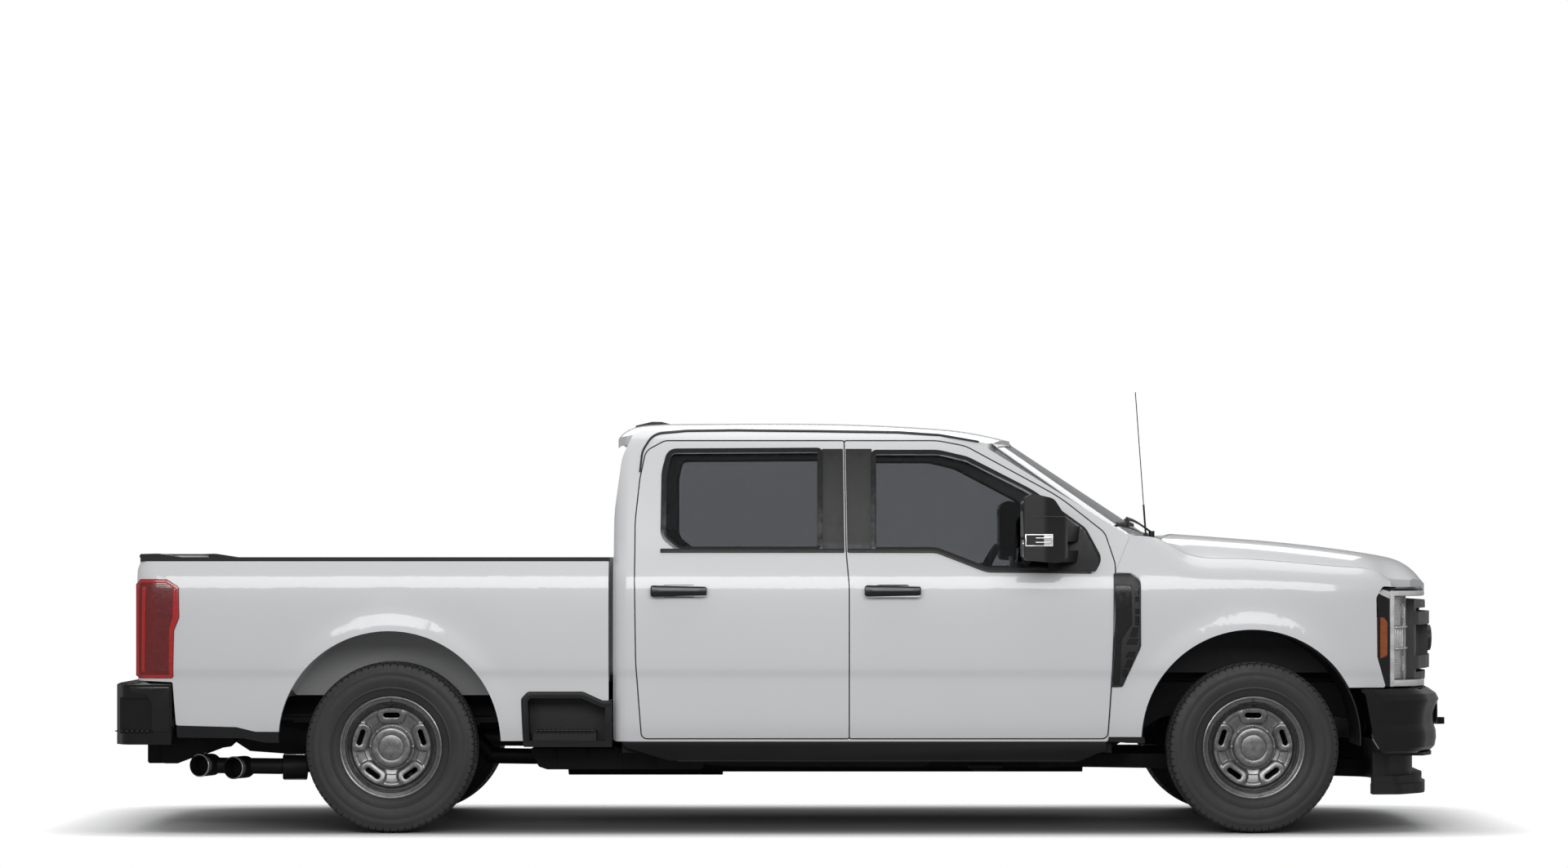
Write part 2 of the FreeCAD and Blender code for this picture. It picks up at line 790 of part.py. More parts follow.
def hood():
    shell = slab(hood_rows(), 0, hood_wall, down).common(prism(hood_outline(), "xy", 1000, 1500))
    return shell.cut(both_sides(box(front_axle_x + 570, front_axle_x + 900, lamp_inner_y - 10, 1000,
                                    1000, lamp_high_z + hood_lamp_gap)))


lamp_inner_y = 600
lamp_front = [
    (front_axle_x + 840, lamp_inner_y, 20), (front_axle_x + 826, 730, 200), (front_axle_x + 770, 862, 120),
    (front_axle_x + 640, 935, 200), (front_axle_x + 560, 950),
]


lens_plan = [
    (front_axle_x + 560, 945), (front_axle_x + 652, 914, 50), (front_axle_x + 728, 740, 300),
    (front_axle_x + 752, lamp_inner_y, 4), (front_axle_x + 690, lamp_inner_y, 4), (front_axle_x + 560, 820, 20),
]
lamp_low_z = 690
lamp_high_z = 1150
lens_low_z = 722
lens_high_z = 1115
lamp_bar_x = front_axle_x + 662


def lamp_plan():
    plan = [(front_axle_x + 560, 965)] + lamp_front[-2::-1]
    return plan + [(front_axle_x + 690, lamp_inner_y, 4), (front_axle_x + 560, 820, 20)]


def headlamp():
    """A lamp block that wraps the corner of the nose; a C of bars stands proud round its lenses."""
    side = from_front_axle([
        (584, 1108, 20), (585, 826, 30), (622, lamp_low_z, 14), (860, lamp_low_z, 14),
        (860, lamp_high_z, 14), (618, lamp_high_z, 20),
    ])
    block = prism(side, "xz", 500, 1000).common(prism(lamp_plan(), "xy", 600, 1300))
    core = prism(lens_plan, "xy", lens_low_z - 5, lens_high_z + 5)
    lenses = box(lamp_bar_x, front_axle_x + 900, lamp_inner_y - 20, 1000, lens_low_z, lens_high_z).cut(core)
    return block.cut(lenses)


grille_half = 590
grille_depth = 96
grille_low_z = 707
grille_high_z = 1094
grille_frame = 40
grille_bar = 62
grille_bar_z = (1006, 795)
grille_rib = 10
grille_rib_pitch = 60
boss_radius = 62
boss_reach = 972
boss_z = 902


def grille_face_x(y):
    return front_axle_x + 936 - 150 * (abs(y) / 640) ** 2


def grille_plan(half, shift, depth):
    ys = steps(-half, half, 9)
    front = [(grille_face_x(y) + shift, y) for y in ys]
    back = [(grille_face_x(y) + shift - depth, y) for y in reversed(ys)]
    return front + back


def grille():
    """The grille: a deep frame bowed forward in plan, two thick bars, a centre panel and upright ribs."""
    frame_side = [
        (front_axle_x + 600, grille_low_z, 4), (front_axle_x + 600, grille_high_z, 4),
        (front_axle_x + 920, grille_high_z, 34), (front_axle_x + 950, grille_high_z - 110, 60),
        (front_axle_x + 950, grille_low_z + 110, 60), (front_axle_x + 920, grille_low_z, 34),
    ]
    ring = prism(grille_plan(grille_half, 0, grille_depth), "xy", grille_low_z, grille_high_z)
    ring = ring.common(prism(frame_side, "xz", -700, 700))
    hole = box(front_axle_x, front_axle_x + 1100, -grille_half + grille_frame, grille_half - grille_frame,
               grille_low_z + grille_frame, grille_high_z - grille_frame)
    pieces = [ring.cut(hole)]
    for z in grille_bar_z:
        pieces.append(prism(grille_plan(grille_half - 5, 20, 70), "xy", z - grille_bar / 2, z + grille_bar / 2))
    centre = prism(grille_plan(170, 12, 70), "xy", grille_bar_z[1] - 5, grille_bar_z[0] + 5)
    boss = rod(boss_radius, (front_axle_x + 900, 0, boss_z), (front_axle_x + boss_reach, 0, boss_z))
    pieces += [centre, boss]
    y = grille_rib_pitch / 2
    while y < grille_half - grille_frame:
        x = grille_face_x(y)
        rib = box(x - 62, x - 30, y - grille_rib / 2, y + grille_rib / 2, grille_low_z + 5, grille_high_z - 5)
        pieces += [rib, mirrored(rib)]
        y += grille_rib_pitch
    return joined(pieces)


hook_y = rail_inner_y + rail_width / 2
bumper_low_z = 384


def bumper_plan(reach, depth):
    """Half of the bumper in plan, as corners from the middle to its end."""
    nose = front_axle_x + reach
    return [
        (nose, 0), (nose - 8, 420, 900), (nose - 30, 720, 300), (nose - 130, 930, 160),
        (nose - 300, 1004, 200), (front_axle_x + 478, 1008, 10), (front_axle_x + 478, 1008 - depth, 10),
        (nose - 310, 1004 - depth, 150), (nose - 160, 880, 120), (nose - depth - 40, 700, 200),
        (nose - depth, 420, 500), (nose - depth, 0),
    ]


def whole_plan(half):
    other = []
    for corner in reversed(half[1:-1]):
        other.append((corner[0], -corner[1]) + tuple(corner[2:]))
    return half + other


bumper_bands = [
    (370, 880), (386, 905), (402, 921), (440, 928), (476, 926), (509, 915), (555, 917), (592, 926),
    (625, 940), (653, 926), (680, 886),
]


def front_bumper():
    """The steel bumper wrapping to the wheel arches, with a crowned band above a hollow one."""
    side = from_front_axle([
        (478, 679, 8), (1000, 679, 4), (1000, bumper_low_z - 8, 4), (600, bumper_low_z - 8, 20),
        (560, 440, 20), (520, 655, 20),
    ])
    sections = []
    for z, reach in bumper_bands:
        sections.append(outline_face(whole_plan(bumper_plan(reach, 62)), "xy", z).OuterWire)
    body = Part.makeLoft(sections, True, True).common(prism(side, "xz", -1050, 1050))
    opening = box(front_axle_x + 700, front_axle_x + 1000, -330, 330, 452, 520)
    body = body.cut(opening)
    slot = box(front_axle_x + 700, front_axle_x + front_reach, hook_y - 38, hook_y + 38, 486, 530)
    body = body.cut(slot).cut(mirrored(slot))
    bracket = box(front_axle_x + 745 + seat_gap, front_axle_x + 895, rail_inner_y + 8, rail_inner_y + rail_width - 8,
                  535, 600)
    return joined([body, bracket, mirrored(bracket)])


def dam_band(reach, thickness, low, high):
    """A band of the air dam between two heights, bowed in plan."""
    nose = front_axle_x + reach
    half = [
        (nose, 0), (nose - 8, 420, 900), (nose - 55, 700, 200), (nose - 190, 850, 60),
        (front_axle_x + 574, 862, 6), (front_axle_x + 574, 862 - thickness, 6),
        (nose - 190 - thickness, 850 - thickness, 40), (nose - 60 - thickness, 690, 120),
        (nose - thickness - 8, 420, 600), (nose - thickness, 0),
    ]
    return prism(whole_plan(half), "xy", low, high)


dam_low_z = 176


def air_dam():
    """The soft dam under the bumper: an upright wall with a lip that stands forward at its foot."""
    shelf = prism(whole_plan(bumper_plan(905, 120)), "xy", bumper_low_z - 24, bumper_low_z - 8)
    shelf = shelf.common(box(front_axle_x + 640, front_axle_x + 905, -850, 850, 0, 500))
    wall = dam_band(834, 30, 262, bumper_low_z - 8)
    foot = dam_band(880, 76, 222, 264)
    lip = dam_band(895, 92, dam_low_z, 224)
    return joined([wall, foot, lip, shelf])


hook_radius = 28
hook_hole_radius = 15
hook_x = front_axle_x + front_reach - hook_radius


def tow_hooks():
    y = hook_y
    bar = box(front_axle_x + 745 + seat_gap, hook_x, y - 14, y + 14, 500, 524)
    eye = rod(hook_radius, (hook_x, y, 492), (hook_x, y, 524))
    hole = rod(hook_hole_radius, (hook_x, y, 480), (hook_x, y, 540))
    return joined([bar, eye]).cut(hole)


def radiator():
    core = box(front_axle_x + 640, front_axle_x + 700, -480, 480, 672, 1130)
    support = box(front_axle_x + 660, front_axle_x + 720, -lamp_inner_y + seat_gap, lamp_inner_y - seat_gap,
                  1131, 1165)
    tie = box(front_axle_x + 690, grille_face_x(30) - grille_depth - 1.5, -30, 30, grille_high_z - 30,
              grille_high_z - 8)
    stop_x = front_axle_x + 690
    stop_top = hood_height(stop_x + 22, 545) - hood_wall - seat_gap
    stop = rod(20, (stop_x, 520, 1150), (stop_x, 520, stop_top))
    legs = box(front_axle_x + 650, front_axle_x + 690, rail_inner_y + 5, rail_inner_y + rail_width - 5, 664, 1131)
    return joined([core, support, tie, legs, mirrored(legs), stop, mirrored(stop)])


antenna_base = (front_axle_x - 494, -800, 1397)
antenna_height = 684
antenna_lean = 50


def antenna():
    x, y, z = antenna_base
    tip = (x - antenna_lean, y, z + antenna_height)
    knee = (x - antenna_lean * 0.22, y, z + antenna_height * 0.22)
    foot_z = cowl_height(x, y) + seat_gap
    foot = Part.makeCone(22, 9, z + 16 - foot_z, Vector(x, y, foot_z + 1), Vector(0, 0, 1))
    return joined([foot, rod(4.5, (x, y, z), knee), rod(2.2, knee, tip)])


def roof_lamp():
    """The black housing at the back of the roof with the high stop lamp."""
    x = cab_back_x
    housing = prism([(x + 62, 1905), (x + 70, 1944, 10), (x + 150, 1963, 40), (x + 200, 1962, 20),
                     (x + 262, 1945), (x + 262, 1930), (x + 150, 1920)], "xz", -130, 130)
    return housing.cut(prism([(x, 1700), (x, 1900)] + [
        (px, roof_height(px, 0) + seat_gap) for px in steps(x + 20, x + 300, 12)] + [(x + 300, 1700)],
        "xz", -200, 200))


def stop_lamp():
    return prism(stop_lamp_outline, "xz", -stop_lamp_half + seat_gap, stop_lamp_half - seat_gap)


wiper_pivots = ((windshield_base[0] + 106, 560), (windshield_base[0] + 176, -60))
wiper_arm = 7
wiper_blade = 6


def glass_strip(points, half_width, lift, thickness):
    """A strip over the windshield; each point is a side place and a distance behind the foot."""
    ahead = []
    behind = []
    for y, up in points:
        bow = windshield_bow * (y / windshield_half_base) ** 2
        x = windshield_base[0] + windshield_bow - bow - up
        ahead.append((x + half_width, y))
        behind.append((x - half_width, y))
    outline = prism(ahead + list(reversed(behind)), "xy", 1200, 2000)
    return windshield_slab(-lift, thickness).common(outline)


def wipers():
    """Two arms with their blades at rest on the foot of the windshield."""
    pieces = []
    for x, y in wiper_pivots:
        z = cowl_height(x, y)
        post = rod(15, (x, y, z + 1.2), (x, y, z + 46))
        arm = glass_strip([(y + 12, -14), (y - 60, 34), (y - 400, 84)], wiper_arm, 38, 12)
        tie = glass_strip([(y - 392, 83), (y - 410, 84)], wiper_arm, 37, 30)
        blade = glass_strip([(y - 70, 82), (y - 340, 84), (y - 640, 82)], wiper_blade, 14, 12)
        pieces.append(joined([post, arm, tie, blade]))
    return pieces


# Load bed

bed_wall_y = 850
lamp_seat_y = bed_wall_y + 14
wheelhouse_y = 645
bed_xs = [bed_rear_x + d for d in (-12, 0, 3, 8, 16, 28, 44, 62, 84)]
bed_xs = bed_xs + steps(bed_rear_x + 120, bed_front_x + 20, 44)
bed_zs = [380, 405, 430, 450, 475, 500, 530, 570, 610, 650, 690, 720, 738, 750, 762, 774, 790, 820, 860,
          900, 940, 980, 1020, 1060, 1100, 1150, 1180, 1208, 1235, 1260, 1280, 1300, 1320]

tail_lamp_outline = [
    (bed_rear_x + 18, 1195, 10), (bed_rear_x - 2, 1174, 10), (bed_rear_x - 2, 740, 10),
    (bed_rear_x + 16, 730, 8), (bed_rear_x + 173, 730, 10), (bed_rear_x + 179, 954, 30),
    (bed_rear_x + 203, 1014, 30), (bed_rear_x + 200, 1159, 14), (bed_rear_x + 143, 1195, 14),
]
step_outline = [
    (bed_front_x + 14, 625, 4), (bed_front_x - 27, 625, 14), (bed_front_x - 120, 667, 40),
    (bed_front_x - 380, 667, 28), (bed_front_x - 411, 633, 20), (bed_front_x - 403, 405, 8),
    (bed_front_x + 14, 405, 4),
]
bed_outline = [
    (bed_front_x, rail_z - rail_cap, 6), (bed_rear_x + 14, rail_z - rail_cap, 30), (bed_rear_x, 1240, 40),
    (bed_rear_x + 4, 720, 10), (bed_rear_x + 170, 712, 10), (bed_rear_x + 184, 508, 10),
    (bed_rear_x + 468, 500, 60), (bed_rear_x + 556, 478, 60),
    (rear_arch_x - 500, 478, 10), (rear_arch_x - 500, rear_arch_z - 10), (rear_arch_x + 500, rear_arch_z - 10),
    (rear_arch_x + 520, 434, 6), (bed_front_x, 434, 6),
]


def bed_slab(shift, thickness):
    return slab(side_rows(bed_side_y, bed_xs, bed_zs), shift, thickness, inward)


def box_side():
    """A bed side: the outer skin, and the thick wall from the floor up to the rail."""
    skin = bed_slab(0, panel_wall).common(prism(bed_outline, "xz", 600, 1100))
    wall = bed_slab(panel_wall / 2, 400)
    keep = box(bed_rear_x + 8, bed_front_x, bed_wall_y, 1100, bed_floor_z - 30, rail_z - rail_cap)
    wall = wall.common(keep)
    drum_radius = rear_arch_radius + liner_wall + seat_gap
    wall = wall.cut(arch_cut(rear_arch_x, rear_arch_z, drum_radius, bed_wall_y - 100, 1100))
    body = skin.fuse(wall)
    cap = box(bed_rear_x + 14, bed_front_x, bed_wall_y, body_half_width - 42, rail_z - rail_cap, rail_z)
    hump = prism([(bed_rear_x + 6, rail_z - 1, 3), (bed_rear_x + 10, rail_z + 16, 8),
                  (bed_rear_x + 90, rail_z + 18, 60), (bed_rear_x + 214, rail_z - 1)],
                 "xz", bed_wall_y + 20, body_half_width - 60)
    cap = joined([cap, hump])
    body = body.cut(prism(tail_lamp_outline, "xz", lamp_seat_y, 1100, 1))
    body = body.cut(prism(step_outline, "xz", 600, 1100, seat_gap))
    body = body.cut(rod(tailgate_pin_radius + seat_gap, (tailgate_pin_x, bed_wall_y - 5, tailgate_pin_z),
                        (tailgate_pin_x, bed_wall_y + tailgate_pin_reach + 1, tailgate_pin_z)))
    arch = arch_cut(rear_arch_x, rear_arch_z, rear_arch_radius, bed_wall_y - 100, 1100)
    return body.cut(arch), cap


def box_floor():
    """The bed floor with its ribs, wheelhouses, cross sills and front panel."""
    deck = box(bed_rear_x + 90, bed_front_x - 40, -bed_wall_y, bed_wall_y, bed_floor_z - 14, bed_floor_z)
    pieces = [deck]
    rib_pitch = 120
    for index in range(-5, 6):
        y = index * rib_pitch
        pieces.append(box(bed_rear_x + 100, bed_front_x - 40, y - 30, y + 30, bed_floor_z - 4, bed_floor_z + 10))
    for x in steps(bed_rear_x + 160, bed_front_x - 120, 6):
        pieces.append(box(x - 30, x + 30, -bed_wall_y, bed_wall_y, bed_floor_z - 58, bed_floor_z - 10))
    front = prism([(-bed_wall_y - 60, bed_floor_z - 58), (bed_wall_y + 60, bed_floor_z - 58),
                   (bed_wall_y + 60, bed_floor_z - 30), (bed_wall_y - seat_gap, bed_floor_z - 30),
                   (bed_wall_y - seat_gap, rail_z), (-bed_wall_y + seat_gap, rail_z),
                   (-bed_wall_y + seat_gap, bed_floor_z - 30), (-bed_wall_y - 60, bed_floor_z - 30)],
                  "yz", bed_front_x - 42, bed_front_x)
    pieces.append(front)
    body = joined(pieces)
    outer = rear_arch_radius + liner_wall
    for side in (1, -1):
        y0 = min(side * wheelhouse_y, side * bed_side_y(rear_arch_x, 950) - side * panel_wall)
        y1 = max(side * wheelhouse_y, side * bed_side_y(rear_arch_x, 950) - side * panel_wall)
        drum = rod(outer, (rear_arch_x, y0, rear_arch_z), (rear_arch_x, y1, rear_arch_z))
        drum = drum.common(box(rear_arch_x - outer, rear_arch_x + outer, y0, y1, 640, 1200))
        body = body.fuse(drum)
        h0 = y0 + (14 if side > 0 else -1)
        h1 = y1 - (14 if side < 0 else -1)
        body = body.cut(rod(rear_arch_radius, (rear_arch_x, h0, rear_arch_z), (rear_arch_x, h1, rear_arch_z)))
    return body.cut(both_sides(bed_slab(-20, 20 + panel_wall + seat_gap)))


def tail_lamp():
    return bed_slab(-4, 190).common(prism(tail_lamp_outline, "xz", lamp_seat_y + seat_gap, 1100))


def rear_trim():
    """The black strip under the bed side behind the rear wheel."""
    outline = [
        (bed_rear_x + 186, 450, 6), (bed_rear_x + 186, 520, 4), (rear_arch_x - 470, 520, 4),
        (rear_arch_x - 470, 424, 4), (bed_rear_x + 600, 426, 30), (bed_rear_x + 500, 446, 40),
    ]
    strip = bed_slab(0, panel_wall).common(prism(outline, "xz", 600, 1100))
    strip = strip.cut(prism(bed_outline, "xz", 400, 1100, seat_gap))
    return strip.cut(arch_cut(rear_arch_x, rear_arch_z, rear_arch_radius, 600, 1100))


def side_step():
    """The plastic step well behind the cab."""
    outer = bed_slab(-3, 170).common(prism(step_outline, "xz", 700, 1100))
    well = prism(step_outline, "xz", 855, 1100, -30)
    outer = outer.cut(well)
    tread = box(bed_front_x - 358, bed_front_x - 60, 850, bed_side_y(bed_front_x, 440) - 12, 405, 482)
    return joined([outer, tread])


tailgate_wall = 68
tailgate_face_x = bed_rear_x - 3
tailgate_half = bed_wall_y - 5
tailgate_pin_x = tailgate_face_x + 62
tailgate_pin_z = 785
tailgate_pin_radius = 8
tailgate_pin_reach = 10
tailgate_low_z = 766
tailgate_high_z = 1312


def tailgate():
    """The tailgate: a thick panel with a recessed handle and a moulding along its top."""
    panel = prism([
        (tailgate_face_x + 4, tailgate_low_z, 10), (tailgate_face_x, 900, 200), (tailgate_face_x, 1230, 60),
        (tailgate_face_x + 12, tailgate_high_z - 16), (tailgate_face_x + 12, tailgate_high_z, 8),
        (tailgate_face_x + tailgate_wall, tailgate_high_z - 4, 8),
        (tailgate_face_x + tailgate_wall, tailgate_low_z, 8),
    ], "xz", -tailgate_half, tailgate_half)
    handle = prism([(-170, 1150, 20), (170, 1150, 20), (150, 1220, 20), (-150, 1220, 20)],
                   "yz", tailgate_face_x - 20, tailgate_face_x + 28)
    panel = panel.cut(handle)
    grip = box(tailgate_face_x + 6, tailgate_face_x + 26, -120, 120, 1186, 1212)
    tie = box(tailgate_face_x + 20, tailgate_face_x + 30, -100, 100, 1190, 1208)
    pin_y = bed_wall_y + tailgate_pin_reach
    pin = rod(tailgate_pin_radius, (tailgate_pin_x, tailgate_half - 5, tailgate_pin_z),
              (tailgate_pin_x, pin_y, tailgate_pin_z))
    return joined([panel, grip, tie, pin, mirrored(pin)])


bumper_back = rear_axle_x - rear_reach
ball_hole_radius = 14


def rear_bumper():
    """The rear step bumper with its wrapped corners and a hole for a tow ball."""
    half = [
        (bumper_back, 0), (bumper_back, 640, 400), (bumper_back + 8, 900, 60), (bumper_back + 60, 992, 60),
        (bumper_back + 284, 996, 20), (bumper_back + 284, 930, 20), (bumper_back + 170, 900, 60),
        (bumper_back + 96, 640, 60), (bumper_back + 96, 0),
    ]
    body = prism(whole_plan(half), "xy", 478, 700)
    body = body.cut(box(bumper_back - 5, bumper_back + 9, -1100, 1100, 478, 710))
    body = body.fuse(prism(whole_plan(half), "xy", 418, 480))
    step = prism([(bumper_back - 10, 940), (bumper_back - 10, 1100), (bumper_back + 210, 1100),
                  (bumper_back + 190, 962, 10), (bumper_back + 40, 940, 20)], "xy", 470, 640)
    middle = box(bumper_back - 5, bumper_back + 60, -260, 260, 440, 560)
    plate_recess = box(bumper_back - 5, bumper_back + 78, -180, 180, 580, 720)
    body = body.cut(middle).cut(plate_recess)
    body = body.cut(step).cut(mirrored(step))
    ledge = box(bumper_back + 20, bumper_back + 96, -180, 180, 560, 580)
    body = body.fuse(ledge)
    body = body.cut(rod(ball_hole_radius, (bumper_back + 42, 0, 540), (bumper_back + 42, 0, 600)))
    bracket = box(bumper_back + 90, bumper_back + 200, rail_inner_y - 24, rail_inner_y - seat_gap, 560, 660)
    return joined([body, bracket, mirrored(bracket)])



# Chassis

rail_path = [
    (bumper_back + 96, rail_high_z), (rear_axle_x + 430, rail_high_z), (rear_axle_x + 850, rail_low_z),
    (front_axle_x - 690, rail_low_z), (front_axle_x - 380, rail_high_z), (front_axle_x + 300, rail_high_z),
    (front_axle_x + 745, 560),
]


def frame():
    """The ladder frame: two rails with cross members and the pads that carry the cab."""
    low = [(x, z - rail_height / 2, 120) for x, z in rail_path]
    high = [(x, z + rail_height / 2, 120) for x, z in reversed(rail_path)]
    corners = low + high
    ends = (0, len(low) - 1, len(low), len(corners) - 1)
    for index in ends:
        corners[index] = (corners[index][0], corners[index][1], 6)
    rail = prism(corners, "xz", rail_inner_y, rail_inner_y + rail_width)
    pieces = [rail, mirrored(rail)]
    low_top = rail_low_z + rail_height / 2
    high_top = rail_high_z + rail_height / 2
    inner = rail_inner_y + 10
    for x in steps(rear_axle_x + 1000, front_axle_x - 1900, 2):
        pieces.append(box(x, x + cross_length, -inner, inner, low_top - cross_height, low_top))
    pieces.append(box(hanger_cross_x, hanger_cross_x + 80, -inner, inner, hanger_cross_z, hanger_cross_z + 40))
    for x in (bumper_back + 130, rear_axle_x - 620, rear_axle_x + 300, front_axle_x + 200):
        pieces.append(box(x, x + cross_length, -inner, inner, high_top - cross_height, high_top))
    pieces.append(rod(40, (front_axle_x + 640, -inner, 600), (front_axle_x + 640, inner, 600)))
    for x in (cab_back_x + 160, door_split_x - 100, front_axle_x - 1150):
        pad = Part.makeCylinder(45, cab_floor_z - low_top, Vector(x, rail_inner_y + 37, low_top))
        pieces.append(pad)
        pieces.append(mirrored(pad))
    return joined(pieces)


def hitch_receiver():
    """The receiver hitch: a cross tube, two side plates and the square tube for a ball mount."""
    x = bumper_back + 90
    plate_top = rail_high_z - rail_height / 2 - seat_gap
    cross = box(x, x + 70, -rail_inner_y - 40, rail_inner_y + 40, 330, 400)
    plate = prism([(x - 20, 300, 12), (x - 20, 417, 10), (x + 10, 417, 4), (x + 10, plate_top, 6), (x + 190, plate_top, 6),
                   (x + 190, 470, 40), (x + 110, 300, 30)], "xz", rail_inner_y + 14, rail_inner_y + 24)
    window = prism([(x + 40, 420, 6), (x + 40, 480, 6), (x + 100, 480, 6), (x + 100, 420, 6)],
                   "xz", rail_inner_y, rail_inner_y + 40)
    plate = plate.cut(window)
    half = receiver_inner / 2 + receiver_wall
    tube = box(x - 66, x + 200, -half, half, 365 - half, 365 + half)
    bore = box(x - 80, x + 210, -receiver_inner / 2, receiver_inner / 2,
               365 - receiver_inner / 2, 365 + receiver_inner / 2)
    return joined([cross, plate, mirrored(plate), tube]).cut(bore)


receiver_inner = 64
receiver_wall = 7


def front_axle():
    """The solid front axle with its differential and the yokes that hold the knuckles."""
    x = front_axle_x
    tube = rod(axle_tube_radius, (x, -690, axle_z), (x, 690, axle_z))
    pieces = [tube, Part.makeSphere(135, Vector(x + 10, 190, axle_z)),
              rod(55, (x - 10, 190, axle_z), (x - 260, 190, axle_z + 10))]
    for side in (1, -1):
        inner = side * 660
        tip = side * (kingpin_y + 26)
        block = box(x - 34, x + 34, min(inner, side * 700), max(inner, side * 700), axle_z - 112, axle_z + 112)
        pieces.append(block)
        for z in (axle_z - 112, axle_z + 88):
            ear = box(x - 34, x + 34, min(side * 690, tip), max(side * 690, tip), z, z + 24)
            ear = ear.cut(rod(kingpin_radius + running_clearance, (x, side * kingpin_y, z - 5),
                              (x, side * kingpin_y, z + 30)))
            pieces.append(ear)
    return joined(pieces)


def rear_axle():
    """The rear axle tube with its differential, and the spindles that carry the wheels."""
    x = rear_axle_x
    half = rear_track / 2
    tube = rod(rear_tube_radius, (x, -half + 110, axle_z), (x, half - 110, axle_z))
    spindle = rod(spindle_radius, (x, -half - 20, axle_z), (x, half + 20, axle_z))
    bowl = Part.makeSphere(165, Vector(x, 0, axle_z))
    nose = Part.makeCone(95, 55, 230, Vector(x + 60, 0, axle_z), Vector(1, 0, 0.05))
    pad = box(x - 80, x + 80, 500, 580, axle_z + 20, axle_z + 76)
    drum = rod(150, (x, half - 115, axle_z), (x, half - 105, axle_z))
    return joined([tube, spindle, bowl, nose, pad, mirrored(pad), drum, mirrored(drum)])


def knuckle():
    """The left steering knuckle with its kingpin, brake backing and spindle."""
    x = front_axle_x
    half = front_track / 2
    body = box(x - 42, x + 42, kingpin_y - 34, kingpin_y + 44, axle_z - 87, axle_z + 87)
    pin = rod(kingpin_radius, (x, kingpin_y, axle_z - 112), (x, kingpin_y, axle_z + 112))
    spindle = rod(spindle_radius, (x, kingpin_y, axle_z), (x, half + 20, axle_z))
    backing = rod(165, (x, kingpin_y + 50, axle_z), (x, kingpin_y + 60, axle_z))
    arm = box(x - 168, x - 30, kingpin_y + 6, kingpin_y + 32, axle_z - 70, axle_z - 42)
    caliper = box(x - 40, x + 40, kingpin_y - 10, kingpin_y + 52, axle_z + 84, axle_z + 86)
    return joined([body, pin, spindle, backing, arm, caliper])


spring_y = 500
spring_width = 76
spring_leaf = 13
spring_reach = 640


def leaf_spring():
    """A rear leaf spring with its eyes, hanger, shackle and axle clamp."""
    x = rear_axle_x
    low = axle_z + 76 + seat_gap
    eye_z = low + 3 * spring_leaf + 8
    y0 = spring_y
    y1 = spring_y + spring_width
    pieces = []
    for index in range(4):
        reach = spring_reach - 130 * index
        z = low + spring_leaf * (3 - index)
        pieces.append(box(x - reach, x + reach, y0, y1, z, z + spring_leaf + 0.5))
    for end in (x - spring_reach, x + spring_reach):
        pieces.append(rod(28, (end, y0, eye_z), (end, y1, eye_z)))
        pieces.append(box(end - 30, end + 30, rail_inner_y + rail_width + seat_gap, y0 + 6, eye_z - 22,
                          eye_z + 90))
    pieces.append(box(x - 90, x + 90, y0 - 4, y1 + 4, low + 30, low + 74))
    return joined(pieces)


def front_suspension():
    x = front_axle_x
    coil = rod(58, (x - 30, 540, axle_z + axle_tube_radius + 30), (x - 30, 540, rail_high_z + 60))
    seat_plate = box(x - 100, x + 40, 490, 600, axle_z + 20, axle_z + axle_tube_radius + 31)
    tower = box(x - 100, x + 40, rail_inner_y + rail_width + seat_gap, 610, rail_high_z + 50, rail_high_z + 80)
    arm = prism([(x - 960, 290, 20), (x - 960, 350, 20), (x - 300, 350, 60), (x - 60, axle_z + 30, 20),
                 (x - 60, axle_z - 60, 20), (x - 300, 280, 60)], "xz", 440, 490)
    bracket = box(x - 985, x - 900, rail_inner_y + rail_width + seat_gap, 500, 285, 420)
    link = box(x - 80, x + 10, 440, 500, axle_z - 60, axle_z + 40)
    damper = rod(26, (x + 90, 560, axle_z - 20), (x + 110, 560, rail_high_z + 120))
    foot = box(x + axle_tube_radius - 8, x + 120, 530, 590, axle_z - 40, axle_z + 10)
    damper_top = box(x + 70, x + 150, rail_inner_y + rail_width + seat_gap, 590, rail_high_z + 60, rail_high_z + 85)
    arms = joined([coil, seat_plate, tower, arm, bracket, link, damper, foot, damper_top])
    return arms.cut(rod(axle_tube_radius + seat_gap, (x, 400, axle_z), (x, 700, axle_z)))


engine_back_x = front_axle_x - 648


def driveline():
    """The gearbox and transfer case with the shafts to both axles."""
    gearbox = Part.makeCone(150, 95, 720, Vector(engine_back_x, 0, 540), Vector(-1, 0, -0.06))
    case = box(front_axle_x - 1560, front_axle_x - 1340, -110, 150, 330, 470)
    link = rod(70, (front_axle_x - 1400, 0, 440), (front_axle_x - 1300, 0, 500))
    shaft = rod(44, (front_axle_x - 1555, 0, 400), (rear_axle_x + 294, 0, axle_z + 8))
    mount = box(hanger_cross_x + 20, hanger_cross_x + 60, -50, 50, hanger_cross_z + 40, 450)
    return joined([gearbox, case, link, shaft, mount])


def engine_block():
    """The engine as one plain block with the mounts that sit against the frame rails."""
    block = box(engine_back_x + seat_gap, front_axle_x + 120, -300, 300, 560, 1150)
    mount = box(front_axle_x - 60, front_axle_x + 20, 290, rail_inner_y - seat_gap, 610, 690)
    return joined([block, mount, mirrored(mount)])


def fuel_tank():
    tank = box(cab_back_x - 380, cab_back_x + 420, 80, rail_inner_y - 12, 270, 460)
    edges = [edge for edge in tank.Edges if edge.Length > 700]
    tank = tank.makeFillet(35, edges)
    straps = []
    for x in (cab_back_x - 200, cab_back_x + 240):
        straps.append(box(x, x + 50, 200, rail_inner_y - seat_gap, 440, 475))
    return joined([tank] + straps)


